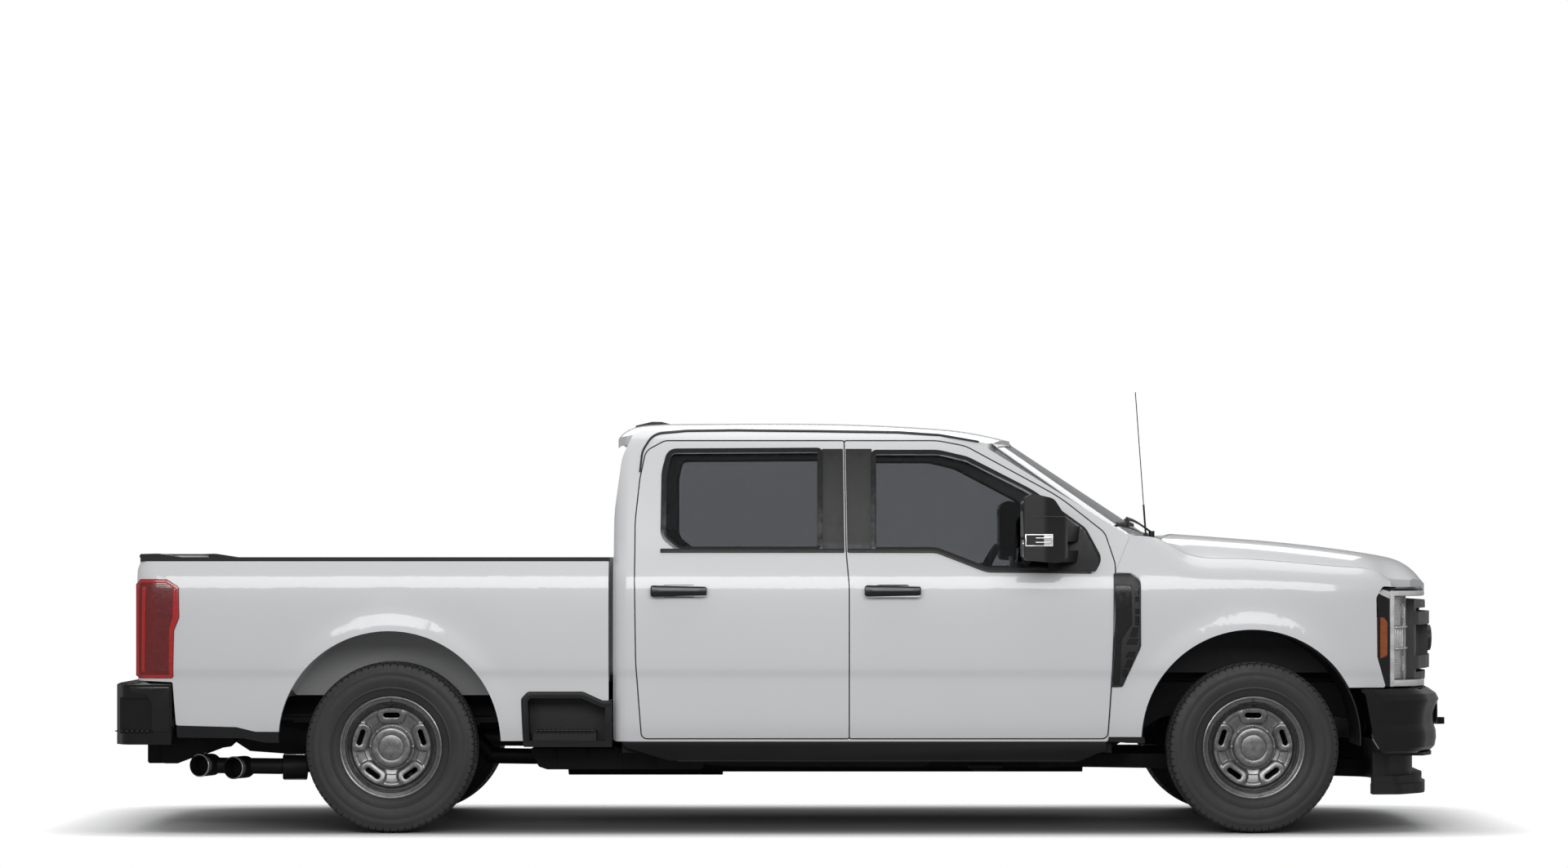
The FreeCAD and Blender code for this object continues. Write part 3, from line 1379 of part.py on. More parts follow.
exhaust_y = -250
hanger_cross_x = front_axle_x - 1290
hanger_cross_z = 345
tip_radius = 52
exhaust_tips = ((rear_axle_x - 935, 307), (rear_axle_x - 774, 296))


def pipe_run(radius, points):
    """A pipe along straight stretches, with a ball at each bend."""
    pieces = []
    for start, end in zip(points, points[1:]):
        pieces.append(rod(radius, start, end))
    for point in points[1:-1]:
        pieces.append(Part.makeSphere(radius, Vector(*point)))
    return pieces


def exhaust():
    """The exhaust with its silencer, the run over the rear axle and the twin tips."""
    y = exhaust_y
    x = rear_axle_x
    pieces = [rod(88, (cab_back_x + 500, y, 325), (cab_back_x - 250, y, 325))]
    pieces += pipe_run(38, [
        (front_axle_x - 760, y, 290), (cab_back_x + 480, y, 290), (cab_back_x - 240, y, 325),
        (x + 420, y, 330), (x + 230, y - 40, 560), (x - 230, y - 40, 560), (x - 400, y - 60, 300),
        (x - 480, -640, 300), (x - 560, -660, 300), (x - 930, -660, 305),
    ])
    pieces.append(rod(57, (x - 546, -658, 296), (x - 437, -640, 296)))
    for tip_x, tip_z in exhaust_tips:
        pieces.append(rod(tip_radius, (tip_x + 50, -640, tip_z), (tip_x, -745, tip_z)))
    pieces.append(box(hanger_cross_x + 20, hanger_cross_x + 60, y - 12, y + 12, 300, hanger_cross_z))
    pieces.append(box(x - 232, x - 212, -rail_inner_y, y - 50, 550, 572))
    pipe = joined(pieces)
    for tip_x, tip_z in exhaust_tips:
        pipe = pipe.cut(rod(tip_radius - 5, (tip_x + 30, -682, tip_z), (tip_x - 10, -766, tip_z)))
        pipe = pipe.cut(box(tip_x - 100, tip_x + 100, -900, -732, 100, 500))
    return pipe


# Wheels

def wheel_disc_profile():
    return [
        (0, hub_face), (cap_radius + 8, hub_face), (118, 66, 14), (172, 70, 12), (disc_radius + 2, 40, 12),
        (disc_radius + 12, 40), (disc_radius + 12, 40 - disc_wall), (disc_radius - 8, 40 - disc_wall, 10),
        (166, 70 - disc_wall, 10), (122, 66 - disc_wall, 10), (cap_radius + 12, hub_face - disc_wall, 6),
        (0, hub_face - disc_wall),
    ]


def revolved(profile):
    """A ring from corners (radius, place along the axle), about the Y axis."""
    face = outline_face(profile, "xy", 0)
    return face.revolve(Vector(0, 0, 0), Vector(0, 1, 0), 360)


def rim():
    half = rim_width / 2
    barrel = revolved([
        (flange_radius, half - flange_thickness), (flange_radius, half, 2), (flange_radius - 8, half, 2),
        (rim_radius - 2, half - 10, 4), (rim_radius - barrel_wall, half - 40, 8),
        (rim_radius - barrel_wall, -half + 10, 4), (flange_radius - 8, -half, 2), (flange_radius, -half, 2),
        (flange_radius, -half + flange_thickness), (rim_radius, -half + flange_thickness + 1, 1),
        (rim_radius, half - flange_thickness - 1, 1),
    ])
    disc = revolved(wheel_disc_profile())
    for index in range(wheel_slots):
        slot = prism([(-slot_length / 2, -slot_width / 2, slot_width * 0.49),
                      (slot_length / 2, -slot_width / 2, slot_width * 0.49),
                      (slot_length / 2, slot_width / 2, slot_width * 0.49),
                      (-slot_length / 2, slot_width / 2, slot_width * 0.49)], "xz", 0, 120)
        slot.translate(Vector(0, 0, slot_circle))
        slot.rotate(Vector(0, 0, 0), Vector(0, 1, 0), index * 360 / wheel_slots)
        disc = disc.cut(slot)
    hub = rod(hub_radius, (0, hub_face - hub_depth, 0), (0, hub_face + 1, 0))
    cap = revolved([(0, cap_reach - 6), (58, cap_reach - 6), (60, cap_reach), (cap_radius - 12, cap_reach, 6),
                    (cap_radius, cap_reach - 30, 12), (cap_radius, hub_face - 1), (0, hub_face - 1)])
    wheel = joined([barrel, disc, hub, cap])
    return wheel.cut(rod(spindle_radius + running_clearance, (0, -120, 0), (0, 24, 0)))


def tyre():
    """A road tyre with four grooves round its tread."""
    half = tyre_width / 2
    bore = rim_radius + seat_gap
    bead = rim_width / 2 - flange_thickness - seat_gap - 1
    body = revolved([
        (bore, -bead), (bore + 26, -bead, 8), (flange_radius + 62, -half, 60), (tyre_radius - 30, -half + 8, 40),
        (tyre_radius - 3, -half + 26, 14), (tyre_radius, 0, 2500), (tyre_radius - 3, half - 26, 14),
        (tyre_radius - 30, half - 8, 40), (flange_radius + 62, half, 60), (bore + 26, bead, 8), (bore, bead),
    ])
    for y in (-60, -20, 20, 60):
        groove = revolved([(tyre_radius - 9, y - 5), (tyre_radius + 5, y - 5), (tyre_radius + 5, y + 5),
                           (tyre_radius - 9, y + 5)])
        body = body.cut(groove)
    return body


def mirror_head():
    """The tow mirror on its two arms, with the sail on the door."""
    x = front_axle_x
    shell = prism([(x - 1100, 1285, 24), (x - 1105, 1570, 50), (x - 1060, 1592, 30), (x - 960, 1570, 50),
                   (x - 900, 1480, 60), (x - 888, 1300, 24), (x - 930, 1272, 30)], "xz", 1060, 1345)
    round_off = prism([(x - 1110, 1060, 10), (x - 1110, 1345, 20), (x - 1000, 1345, 60), (x - 900, 1290, 60),
                       (x - 880, 1140, 60), (x - 940, 1060, 50)], "xy", 1200, 1650)
    shell = shell.common(round_off)
    sail_y = side_base(1420)
    upper = prism([(x - 1010, 1100, 4), (x - 900, 1100, 20), (x - 812, sail_y - 6, 4), (x - 900, sail_y - 6, 4)],
                  "xy", 1372, 1444)
    lower = prism([(x - 1010, 1100, 4), (x - 900, 1100, 20), (x - 812, sail_y + 10, 4), (x - 900, sail_y + 10, 4)],
                  "xy", 1275, 1330)
    sail = slab(cab_rows, -9, 8.7, inward).common(prism(from_front_axle([
        (-965, 1236, 10), (-740, 1236, 10), (-728, 1290, 20), (-800, 1425, 20), (-990, 1566, 20)]), "xz", 700, 1100))
    shell = joined([shell, upper, lower, sail])
    return shell.cut(slab(cab_rows, -0.3, 60, inward))


def door_handle(x, z):
    grip = slab(cab_rows, -34, 16, inward).common(prism([
        (x - 130, z - 26, 12), (x + 130, z - 26, 12), (x + 130, z + 26, 12), (x - 130, z + 26, 12)],
        "xz", 800, 1200))
    feet = slab(cab_rows, -30, 30, inward).common(
        box(x - 122, x - 80, 800, 1200, z - 20, z + 20).fuse(box(x + 80, x + 122, 800, 1200, z - 20, z + 20)))
    return grip.fuse(feet)


def wheel_at(shape, x, track, side):
    placed = shape.copy()
    placed.translate(Vector(x, track / 2, axle_z))
    return placed if side > 0 else mirrored(placed)


def export(name, shape):
    shape.exportStep("parts/" + name + ".step")
    print(name, len(shape.Solids), shape.isValid())


def main():
    os.makedirs("parts", exist_ok=True)
    export("frame", frame())
    hooks = tow_hooks()
    export("tow_hooks", solids_of([hooks, mirrored(hooks)]))
    export("hitch_receiver", hitch_receiver())
    export("front_axle", front_axle())
    export("rear_axle", rear_axle())
    export("leaf_springs", both_sides(leaf_spring()))
    export("front_suspension", both_sides(front_suspension()))
    export("driveline", driveline())
    export("engine_block", engine_block())
    export("radiator", radiator())
    export("fuel_tank", fuel_tank())
    export("exhaust", exhaust())
    export("cab_floor", cab_floor())
    export("cab_sides", both_sides(cab_side()))
    export("cab_roof", cab_roof())
    export("cab_back", cab_back())
    export("rear_glass", rear_glass())
    export("windshield", windshield())
    export("firewall", firewall())
    export("dashboard", dashboard())
    export("seats", seats())
    export("front_fenders", both_sides(front_fender()))
    export("wheel_liners", wheel_liners())
    export("fender_vents", both_sides(fender_vents()))
    export("headlamps", both_sides(headlamp()))
    export("grille", grille())
    export("front_bumper", front_bumper())
    export("air_dam", air_dam())
    export("antenna", solids_of([antenna()] + wipers()))
    export("roof_lamp", roof_lamp())
    export("stop_lamp", stop_lamp())
    side, cap = box_side()
    export("box_sides", both_sides(side))
    export("bed_rails", both_sides(cap))
    export("box_floor", box_floor())
    export("side_steps", solids_of([both_sides(side_step()), both_sides(rear_trim())]))
    export("tail_lamps", both_sides(tail_lamp()))
    export("rear_bumper", rear_bumper())
    export("hood", hood())
    export("tailgate", tailgate())
    front = door(front_door_outline, front_window_outline)
    rear = door(rear_door_outline, rear_window_outline)
    front = front.fuse(door_handle(door_split_x + 203, 1137))
    rear = rear.fuse(door_handle(rear_door_back_x + 206, 1141))
    front_pane = door_glass(front_window_outline)
    rear_pane = door_glass(rear_window_outline)
    mirror = mirror_head()
    turned = knuckle()
    wheel_rim = rim()
    wheel_tyre = tyre()
    for side, name in ((1, "left"), (-1, "right")):
        for label, shape in (("door_front_", front), ("door_rear_", rear), ("glass_front_", front_pane),
                             ("glass_rear_", rear_pane), ("mirror_", mirror), ("knuckle_", turned)):
            export(label + name, shape if side > 0 else mirrored(shape))
        for place, x, track in (("front_", front_axle_x, front_track), ("rear_", rear_axle_x, rear_track)):
            export("rim_" + place + name, wheel_at(wheel_rim, x, track, side))
            export("tyre_" + place + name, wheel_at(wheel_tyre, x, track, side))


main()
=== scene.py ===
import json
import math
import bpy
from mathutils import Matrix, Vector


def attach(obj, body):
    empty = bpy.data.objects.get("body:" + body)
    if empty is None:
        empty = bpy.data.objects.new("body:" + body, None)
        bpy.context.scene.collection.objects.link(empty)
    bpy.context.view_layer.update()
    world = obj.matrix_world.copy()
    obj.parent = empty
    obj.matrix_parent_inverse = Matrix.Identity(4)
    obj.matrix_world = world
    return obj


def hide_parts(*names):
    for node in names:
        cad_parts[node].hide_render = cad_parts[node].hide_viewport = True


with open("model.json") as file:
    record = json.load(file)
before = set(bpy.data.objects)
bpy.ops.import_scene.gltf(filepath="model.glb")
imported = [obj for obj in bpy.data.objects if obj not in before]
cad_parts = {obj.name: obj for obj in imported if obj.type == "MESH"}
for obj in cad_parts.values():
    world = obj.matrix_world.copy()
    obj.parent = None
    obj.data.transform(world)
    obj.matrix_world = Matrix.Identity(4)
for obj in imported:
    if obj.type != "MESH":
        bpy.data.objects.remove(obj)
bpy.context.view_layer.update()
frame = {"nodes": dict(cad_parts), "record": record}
nodes = frame["nodes"]


def deselectAll():
    if bpy.context.object and bpy.context.object.mode != "OBJECT":
        bpy.ops.object.mode_set(mode="OBJECT")
    bpy.ops.object.select_all(action="DESELECT")


def makeActive(piece):
    deselectAll()
    piece.select_set(True)
    bpy.context.view_layer.objects.active = piece


def applyPlace(piece):  # puts the piece's place, turn and size into its mesh
    makeActive(piece)
    bpy.ops.object.transform_apply(location=True, rotation=True, scale=True)
    return piece


def editAll():  # opens the active piece with all of it selected
    bpy.ops.object.mode_set(mode="EDIT")
    bpy.ops.mesh.select_all(action="SELECT")


def newPiece(name):  # names what an operator has just added
    piece = bpy.context.object
    piece.name = name
    piece.data.name = name
    return piece


def fixNormals(piece, merge=0.00002):
    makeActive(piece)
    editAll()
    if merge:
        bpy.ops.mesh.remove_doubles(threshold=merge)
    bpy.ops.mesh.normals_make_consistent(inside=False)
    bpy.ops.object.mode_set(mode="OBJECT")
    return piece


def smooth(piece, angle=35):
    makeActive(piece)
    bpy.ops.object.shade_smooth_by_angle(angle=math.radians(angle))
    return piece


def withModifier(piece, kind, **settings):
    makeActive(piece)
    modifier = piece.modifiers.new(kind.title(), kind)
    for name, value in settings.items():
        setattr(modifier, name, value)
    bpy.ops.object.modifier_apply(modifier=modifier.name)
    return piece


def bevelEdges(piece, width, segments=2, **settings):  # a width of 0 leaves the edges sharp
    if width:
        withModifier(piece, "BEVEL", width=width, segments=segments, limit_method="ANGLE", **settings)
    return piece


def joinAll(pieces, name):
    makeActive(pieces[0])
    for piece in pieces:
        piece.select_set(True)
    if len(pieces) > 1:
        bpy.ops.object.join()
    joined = bpy.context.view_layer.objects.active
    joined.name = name
    joined.data.name = name
    return applyPlace(joined)


def copyOf(piece, name):
    twin = piece.copy()
    twin.data = piece.data.copy()
    twin.name = name
    bpy.context.scene.collection.objects.link(twin)
    twin.parent = None
    return twin


def mirrorMesh(piece):  # to the other side of the truck
    piece.data.transform(Matrix.Scale(-1, 4, Vector((0, 1, 0))))
    piece.data.flip_normals()
    return piece


def mirroredCopy(piece, name):
    return mirrorMesh(copyOf(piece, name))


def paintWith(piece, material):
    piece.data.materials.clear()
    piece.data.materials.append(material)
    return piece


def newMaterial(name):
    material = bpy.data.materials.new(name)
    material.use_nodes = True
    return material, material.node_tree.nodes["Principled BSDF"]


# these helpers also take the world, which has a node tree too
def addNode(material, kind, **settings):
    node = material.node_tree.nodes.new(kind)
    for key, value in settings.items():
        if key in node.inputs:
            node.inputs[key].default_value = value
        else:
            setattr(node, key, value)
    return node


def link(material, output, socket):
    material.node_tree.links.new(output, socket)


def objectCoordinates(material):
    return addNode(material, "ShaderNodeTexCoord").outputs["Object"]


def noise(material, scale, detail, stretch=None):
    texture = addNode(material, "ShaderNodeTexNoise", Scale=scale, Detail=detail, Roughness=0.55)
    source = objectCoordinates(material)
    if stretch:
        mapping = addNode(material, "ShaderNodeMapping")
        mapping.inputs["Scale"].default_value = stretch
        link(material, source, mapping.inputs["Vector"])
        source = mapping.outputs["Vector"]
    link(material, source, texture.inputs["Vector"])
    return texture.outputs["Fac"]


def ramp(material, source, stops):
    node = addNode(material, "ShaderNodeValToRGB")
    link(material, source, node.inputs["Fac"])
    elements = node.color_ramp.elements
    for element, (position, color) in zip(elements, (stops[0], stops[-1])):
        element.position = position
        element.color = color
    for position, color in stops[1:-1]:
        elements.new(position).color = color
    return node.outputs["Color"]


def grey(value, warm=0.0):
    return (value * (1 + warm), value, value * (1 - warm), 1)


def vary(material, shader, socketName, texture, low, high, start=0.3, end=0.7):
    # the socket follows a texture from its low colour to its high one
    link(material, ramp(material, texture, [(start, low), (end, high)]), shader.inputs[socketName])


def bump(material, shader, source, strength, distance, socketName="Normal"):
    node = addNode(material, "ShaderNodeBump", Strength=strength, Distance=distance)
    link(material, source, node.inputs["Height"])
    link(material, node.outputs["Normal"], shader.inputs[socketName])


def paintMaterial(name, base, darker):
    material, shader = newMaterial(name)
    vary(material, shader, "Base Color", noise(material, 1.7, 4), darker, base)
    vary(material, shader, "Roughness", noise(material, 60, 2), grey(0.30), grey(0.38), 0.35, 0.75)
    shader.inputs["Coat Weight"].default_value = 0.9
    shader.inputs["Coat Roughness"].default_value = 0.035
    shader.inputs["Coat IOR"].default_value = 1.5
    bump(material, shader, noise(material, 420, 2), 0.05, 0.0004, "Coat Normal")
    return material


def plasticMaterial(name, value, roughness, grain=900, depth=0.00025, strength=0.35, shine=0.5):
    material, shader = newMaterial(name)
    shader.inputs["Specular IOR Level"].default_value = shine
    vary(material, shader, "Base Color", noise(material, 5, 5), grey(value * 0.82), grey(value * 1.16))
    vary(material, shader, "Roughness", noise(material, 35, 4), grey(roughness - 0.06),
         grey(roughness + 0.07), end=0.75)
    bump(material, shader, noise(material, grain, 3), strength, depth)
    return material


def metalMaterial(name, value, roughness, metallic, brushed=None, warm=0.0, scale=70, grain=0.18):
    material, shader = newMaterial(name)
    vary(material, shader, "Base Color", noise(material, scale, 5, brushed), grey(value * 0.8, warm),
         grey(value * 1.15, warm))
    vary(material, shader, "Roughness", noise(material, scale * 2, 4, brushed), grey(roughness - 0.07),
         grey(roughness + 0.09))
    shader.inputs["Metallic"].default_value = metallic
    bump(material, shader, noise(material, scale * 6, 3, brushed), grain, 0.0003)
    return material


def glassMaterial(name, tint):
    material, shader = newMaterial(name)
    deeper = (*(part * 0.93 for part in tint[:3]), 1)
    vary(material, shader, "Base Color", noise(material, 0.9, 1), deeper, tint)
    shader.inputs["Transmission Weight"].default_value = 1.0
    shader.inputs["Roughness"].default_value = 0.01
    shader.inputs["IOR"].default_value = 1.3
    bump(material, shader, noise(material, 6, 1), 0.02, 0.0005)
    return material


def lensMaterial(name, dark, light, roughness):  # a coloured lens with a clear coat
    material, shader = newMaterial(name)
    vary(material, shader, "Base Color", noise(material, 45, 3), dark, light)
    vary(material, shader, "Roughness", noise(material, 90, 2), grey(roughness * 0.8), grey(roughness * 1.2))
    shader.inputs["Coat Weight"].default_value = 1.0
    shader.inputs["Coat Roughness"].default_value = 0.03
    bump(material, shader, noise(material, 240, 2), 0.06, 0.0003)
    return material


def coverMaterial(name, value, share):  # a clear cover that lets most light through
    material, shader = newMaterial(name)
    vary(material, shader, "Base Color", noise(material, 12, 3), grey(value * 0.94), grey(value))
    vary(material, shader, "Roughness", noise(material, 60, 2), grey(0.04), grey(0.07))
    shader.inputs["Alpha"].default_value = share
    bump(material, shader, noise(material, 200, 2), 0.05, 0.0002)
    return material


paint = paintMaterial("bodyPaint", (0.70, 0.705, 0.712, 1), (0.685, 0.69, 0.697, 1))
# a darker copy of the body paint, painted shade for the faces inside the body: the CAD inner_paint faces, the
# headliner and the tailgate ribs
shadedInnerPaint = paintMaterial("shadedInnerPaint", (0.36, 0.363, 0.368, 1), (0.33, 0.333, 0.338, 1))
blackTrim = plasticMaterial("blackTrim", 0.014, 0.42, shine=0.35)
pillarBlack = plasticMaterial("pillarBlack", 0.017, 0.40, shine=0.4)
glossTrim = plasticMaterial("glossTrim", 0.010, 0.16, 300, 0.0001, 0.08)
grilleBlack = plasticMaterial("grilleBlack", 0.055, 0.38)
bumperPaint = plasticMaterial("bumperPaint", 0.006, 0.18, 300, 0.0001, 0.08, shine=0.45)
darkGlass = glassMaterial("darkGlass", (0.30, 0.31, 0.32, 1))
wheelSteel = metalMaterial("wheelSteel", 0.24, 0.31, 0.85, scale=25, grain=0.04)
tyreRubber = plasticMaterial("tyreRubber", 0.026, 0.56, 500, 0.0004, 0.4)
chassisBlack = plasticMaterial("chassisBlack", 0.007, 0.5, 300, 0.0005, 0.4, shine=0.18)
castIron = metalMaterial("castIron", 0.10, 0.5, 0.7, scale=120)
exhaustSteel = metalMaterial("exhaustSteel", 0.62, 0.24, 0.85, (1, 6, 6), 0.03)
cabinPlastic = plasticMaterial("cabinPlastic", 0.03, 0.6)
carpet = plasticMaterial("carpet", 0.02, 0.95, 1400, 0.002, 0.8)
seatCloth = plasticMaterial("seatCloth", 0.05, 0.9, 1100, 0.0012, 0.7)
lampBar = metalMaterial("lampBar", 0.80, 0.16, 0.25, scale=20)
lampSilver = metalMaterial("lampSilver", 0.90, 0.24, 0.15, scale=20, grain=0.05)
chrome = metalMaterial("chrome", 0.80, 0.06, 1.0, scale=20)
lampCover = coverMaterial("lampCover", 0.85, 0.14)
lampAmber = lensMaterial("lampAmber", (0.26, 0.055, 0.004, 1), (0.36, 0.085, 0.006, 1), 0.25)
redRim = lensMaterial("redRim", (0.42, 0.006, 0.006, 1), (0.52, 0.010, 0.010, 1), 0.2)
redLens = lensMaterial("redLens", (0.13, 0.002, 0.003, 1), (0.18, 0.004, 0.004, 1), 0.2)
whiteLens = lensMaterial("whiteLens", (0.55, 0.55, 0.56, 1), (0.70, 0.70, 0.71, 1), 0.15)
slotMaterials = {
    "body_paint": paint, "inner_paint": shadedInnerPaint, "black_plastic": blackTrim, "black_steel": bumperPaint,
    "grille_plastic": grilleBlack, "window_glass": darkGlass, "wheel_steel": wheelSteel, "tyre": tyreRubber,
    "chassis_steel": chassisBlack, "cast_metal": castIron, "exhaust_steel": exhaustSteel,
    "cabin_plastic": cabinPlastic, "seat_cloth": seatCloth, "lamp_clear": glossTrim, "lamp_red": redLens,
}


def startVertex(name, spot):  # one vertex to extrude from
    deselectAll()
    bpy.ops.mesh.primitive_plane_add(size=0.01, location=(0, 0, 0))
    piece = newPiece(name)
    editAll()
    bpy.ops.mesh.merge(type="CENTER")
    bpy.ops.transform.translate(value=spot)
    return piece


def extrudeBy(step):
    bpy.ops.mesh.extrude_region_move(TRANSFORM_OT_translate={"value": step})


def turned(name, profile, steps, angle=35):
    # profile is (radius, place along the axle); the axle is the Y axis
    piece = startVertex(name, (profile[0][0], profile[0][1], 0))
    bpy.ops.mesh.select_mode(type="VERT")
    for before, after in zip(profile, profile[1:]):
        extrudeBy((after[0] - before[0], after[1] - before[1], 0))
    bpy.ops.mesh.select_all(action="SELECT")
    bpy.ops.mesh.spin(steps=steps, angle=math.tau, center=(0, 0, 0), axis=(0, 1, 0))
    bpy.ops.object.mode_set(mode="OBJECT")
    fixNormals(applyPlace(piece))
    return smooth(piece, angle)


def turnedCopy(piece, name, degrees):  # about the same axle
    twin = copyOf(piece, name)
    twin.data.transform(Matrix.Rotation(math.radians(degrees), 4, "Y"))
    return twin


def setOn(piece, spot, swing):  # moves a turned piece to its place, its axle swung round Z
    piece.data.transform(Matrix.Translation(spot) @ Matrix.Rotation(swing, 4, "Z"))
    return piece


def outlinePlate(name, outline, spotFor, push, bevelWidth, segments=2):
    # outline is a list of flat points, spotFor turns one into a place, push is the plate's thickness
    deselectAll()
    bpy.ops.mesh.primitive_circle_add(vertices=len(outline), radius=0.1, fill_type="NGON")
    piece = newPiece(name)
    for vertex, point in zip(piece.data.vertices, outline):
        vertex.co = spotFor(*point)
    editAll()
    extrudeBy(push)
    bpy.ops.object.mode_set(mode="OBJECT")
    fixNormals(applyPlace(piece), merge=0)
    return smooth(bevelEdges(piece, bevelWidth, segments))


def roundedPlate(name, points, spotFor, push, bevelWidth, segments=2, radius=None):
    # points are flat, with the radius of their corner or with one radius for all
    if radius:
        points = [(*point, radius) for point in points]
    return outlinePlate(name, [tuple(point) for point in roundLine(points)], spotFor, push,
                        bevelWidth, segments)


def sideSpot(y):  # outline points are (x, z) in the side view
    return lambda x, z: (x, y, z)


def blockAt(name, low, high, bevelWidth, segments=3):
    deselectAll()
    middle = [(a + b) / 2 for a, b in zip(low, high)]
    bpy.ops.mesh.primitive_cube_add(size=1, location=middle)
    piece = newPiece(name)
    piece.scale = [b - a for a, b in zip(low, high)]
    applyPlace(piece)
    return smooth(bevelEdges(piece, bevelWidth, segments))


def tubeAlong(name, points, radius, closed=False, sides=4, smoothLine=False):
    curve = bpy.data.curves.new(name, "CURVE")
    curve.dimensions = "3D"
    curve.bevel_depth = radius
    curve.bevel_resolution = sides
    curve.use_fill_caps = not closed
    spline = curve.splines.new("NURBS" if smoothLine else "POLY")
    spline.points.add(len(points) - 1)
    for splinePoint, point in zip(spline.points, points):
        splinePoint.co = (*point, 1)
    spline.use_cyclic_u = closed
    if smoothLine:
        spline.order_u = 3
        spline.use_endpoint_u = not closed
        spline.resolution_u = 6
    piece = bpy.data.objects.new(name, curve)
    bpy.context.scene.collection.objects.link(piece)
    makeActive(piece)
    bpy.ops.object.convert(target="MESH")
    piece = bpy.context.object
    fixNormals(piece, merge=0.00001)
    return smooth(piece, 50)


def cutWith(piece, cutter):
    withModifier(piece, "BOOLEAN", object=cutter, operation="DIFFERENCE", solver="EXACT")
    bpy.data.objects.remove(cutter)
    return piece


def ease(value):
    value = min(max(value, 0.0), 1.0)
    return value * value * (3 - 2 * value)


wheel = {
    "radius": 0.403, "grooveDepth": 0.009, "pitches": 70, "capFace": 0.092, "notches": 8,
    "slots": 5, "slotCircle": 0.151, "slotLength": 0.080, "slotHeight": 0.027,
}
slotTurn = 360 / wheel["slots"]


def makeTyre():
    floor = wheel["radius"] - wheel["grooveDepth"]
    profile = [(0.222, -0.090), (0.230, -0.094), (0.243, -0.097), (0.250, -0.103), (0.262, -0.108),
               (0.276, -0.114), (0.279, -0.1185), (0.283, -0.1190), (0.287, -0.1165), (0.300, -0.1195),
               (0.316, -0.1215), (0.330, -0.1222), (0.334, -0.1212), (0.346, -0.1205), (0.349, -0.1215),
               (0.357, -0.1195), (0.3602, -0.1200), (0.3632, -0.1185), (0.374, -0.1165), (0.383, -0.1130),
               (0.390, -0.1050), (floor, -0.0960), (floor, -0.05), (floor, 0.0)]
    other = [(r, -y) for r, y in reversed(profile[:-1])]
    body = turned("tyreBody", profile + other, 144, 40)
    blocks = []
    rows = [  # place across, width, share of the pitch, share ahead, lean, top
        (-0.1005, 0.031, 0.80, 0.0, 0.0, 0.398), (-0.0640, 0.026, 0.84, 0.35, 0.35, 0.4015),
        (-0.0290, 0.030, 0.86, 0.1, -0.3, 0.4028), (0.0, 0.016, 0.97, 0.6, 0.0, 0.4030),
        (0.0290, 0.030, 0.86, 0.6, -0.3, 0.4028), (0.0640, 0.026, 0.84, 0.85, 0.35, 0.4015),
        (0.1005, 0.031, 0.80, 0.5, 0.0, 0.398),
    ]
    pitch = math.tau / wheel["pitches"]
    sunk = 0.004  # how deep the blocks sit in the body
    for across, width, share, ahead, lean, top in rows:
        length = pitch * 0.4 * share
        deselectAll()
        bpy.ops.mesh.primitive_cube_add(size=1, location=(0, across, (top + floor - sunk) / 2))
        block = newPiece("treadBlock")
        block.scale = (length, width, top - floor + sunk)
        applyPlace(block)
        for vertex in block.data.vertices:
            vertex.co.x += lean * (vertex.co.y - across)
            if vertex.co.z >= floor:  # the shoulder falls off
                vertex.co.z -= max(abs(vertex.co.y) - 0.0975, 0) * 0.55
        bevelEdges(block, 0.0012, 1)
        if abs(across) > 0.09:
            side = math.copysign(1, across)
            near, far = sorted((side * 0.106, side * 0.1172))
            lug = blockAt("lug", (-length / 2, near, 0.372), (length / 2, far, 0.3925), 0)
            for vertex in lug.data.vertices:
                if vertex.co.z > 0.38:
                    vertex.co.y -= side * 0.0045
            blocks.append((lug, ahead))
        blocks.append((block, ahead))
    pieces = [body]
    for block, ahead in blocks:
        for index in range(wheel["pitches"]):
            pieces.append(turnedCopy(block, "tread", math.degrees((index + ahead) * pitch)))
        bpy.data.objects.remove(block)
    return smooth(joinAll(pieces, "tyre"), 40)


def stadium(length, height):  # the outline of a slot with round ends
    points = []
    radius = height / 2
    steps = 8
    for side in (1, -1):
        for index in range(steps + 1):
            turn = -math.pi / 2 + math.pi * index / steps
            points.append((side * (length / 2 - radius + radius * math.cos(turn)),
                           side * radius * math.sin(turn)))
    return points


def discRelief(x, z):  # how far the pressed disc stands out, by place
    radius = math.hypot(x, z)
    turn = math.degrees(math.atan2(x, z)) % slotTurn
    if turn > slotTurn / 2:
        turn -= slotTurn
    across = radius * math.sin(math.radians(turn))
    along = radius * math.cos(math.radians(turn)) - wheel["slotCircle"]
    reach = math.hypot(max(abs(across) - 0.030, 0), along * 0.85)
    boss = 0.0065 * ease((0.042 - reach) / 0.014)
    dish = 0.0030 * ease((0.019 - math.hypot(max(abs(across) - 0.027, 0), along)) / 0.008)
    fromPad = slotTurn / 2 - abs(turn)
    pad = 0.0055 * min(ease((12.5 - fromPad) / 2.5), ease((radius - 0.126) / 0.006),
                       ease((0.172 - radius) / 0.006))
    return boss - dish - pad


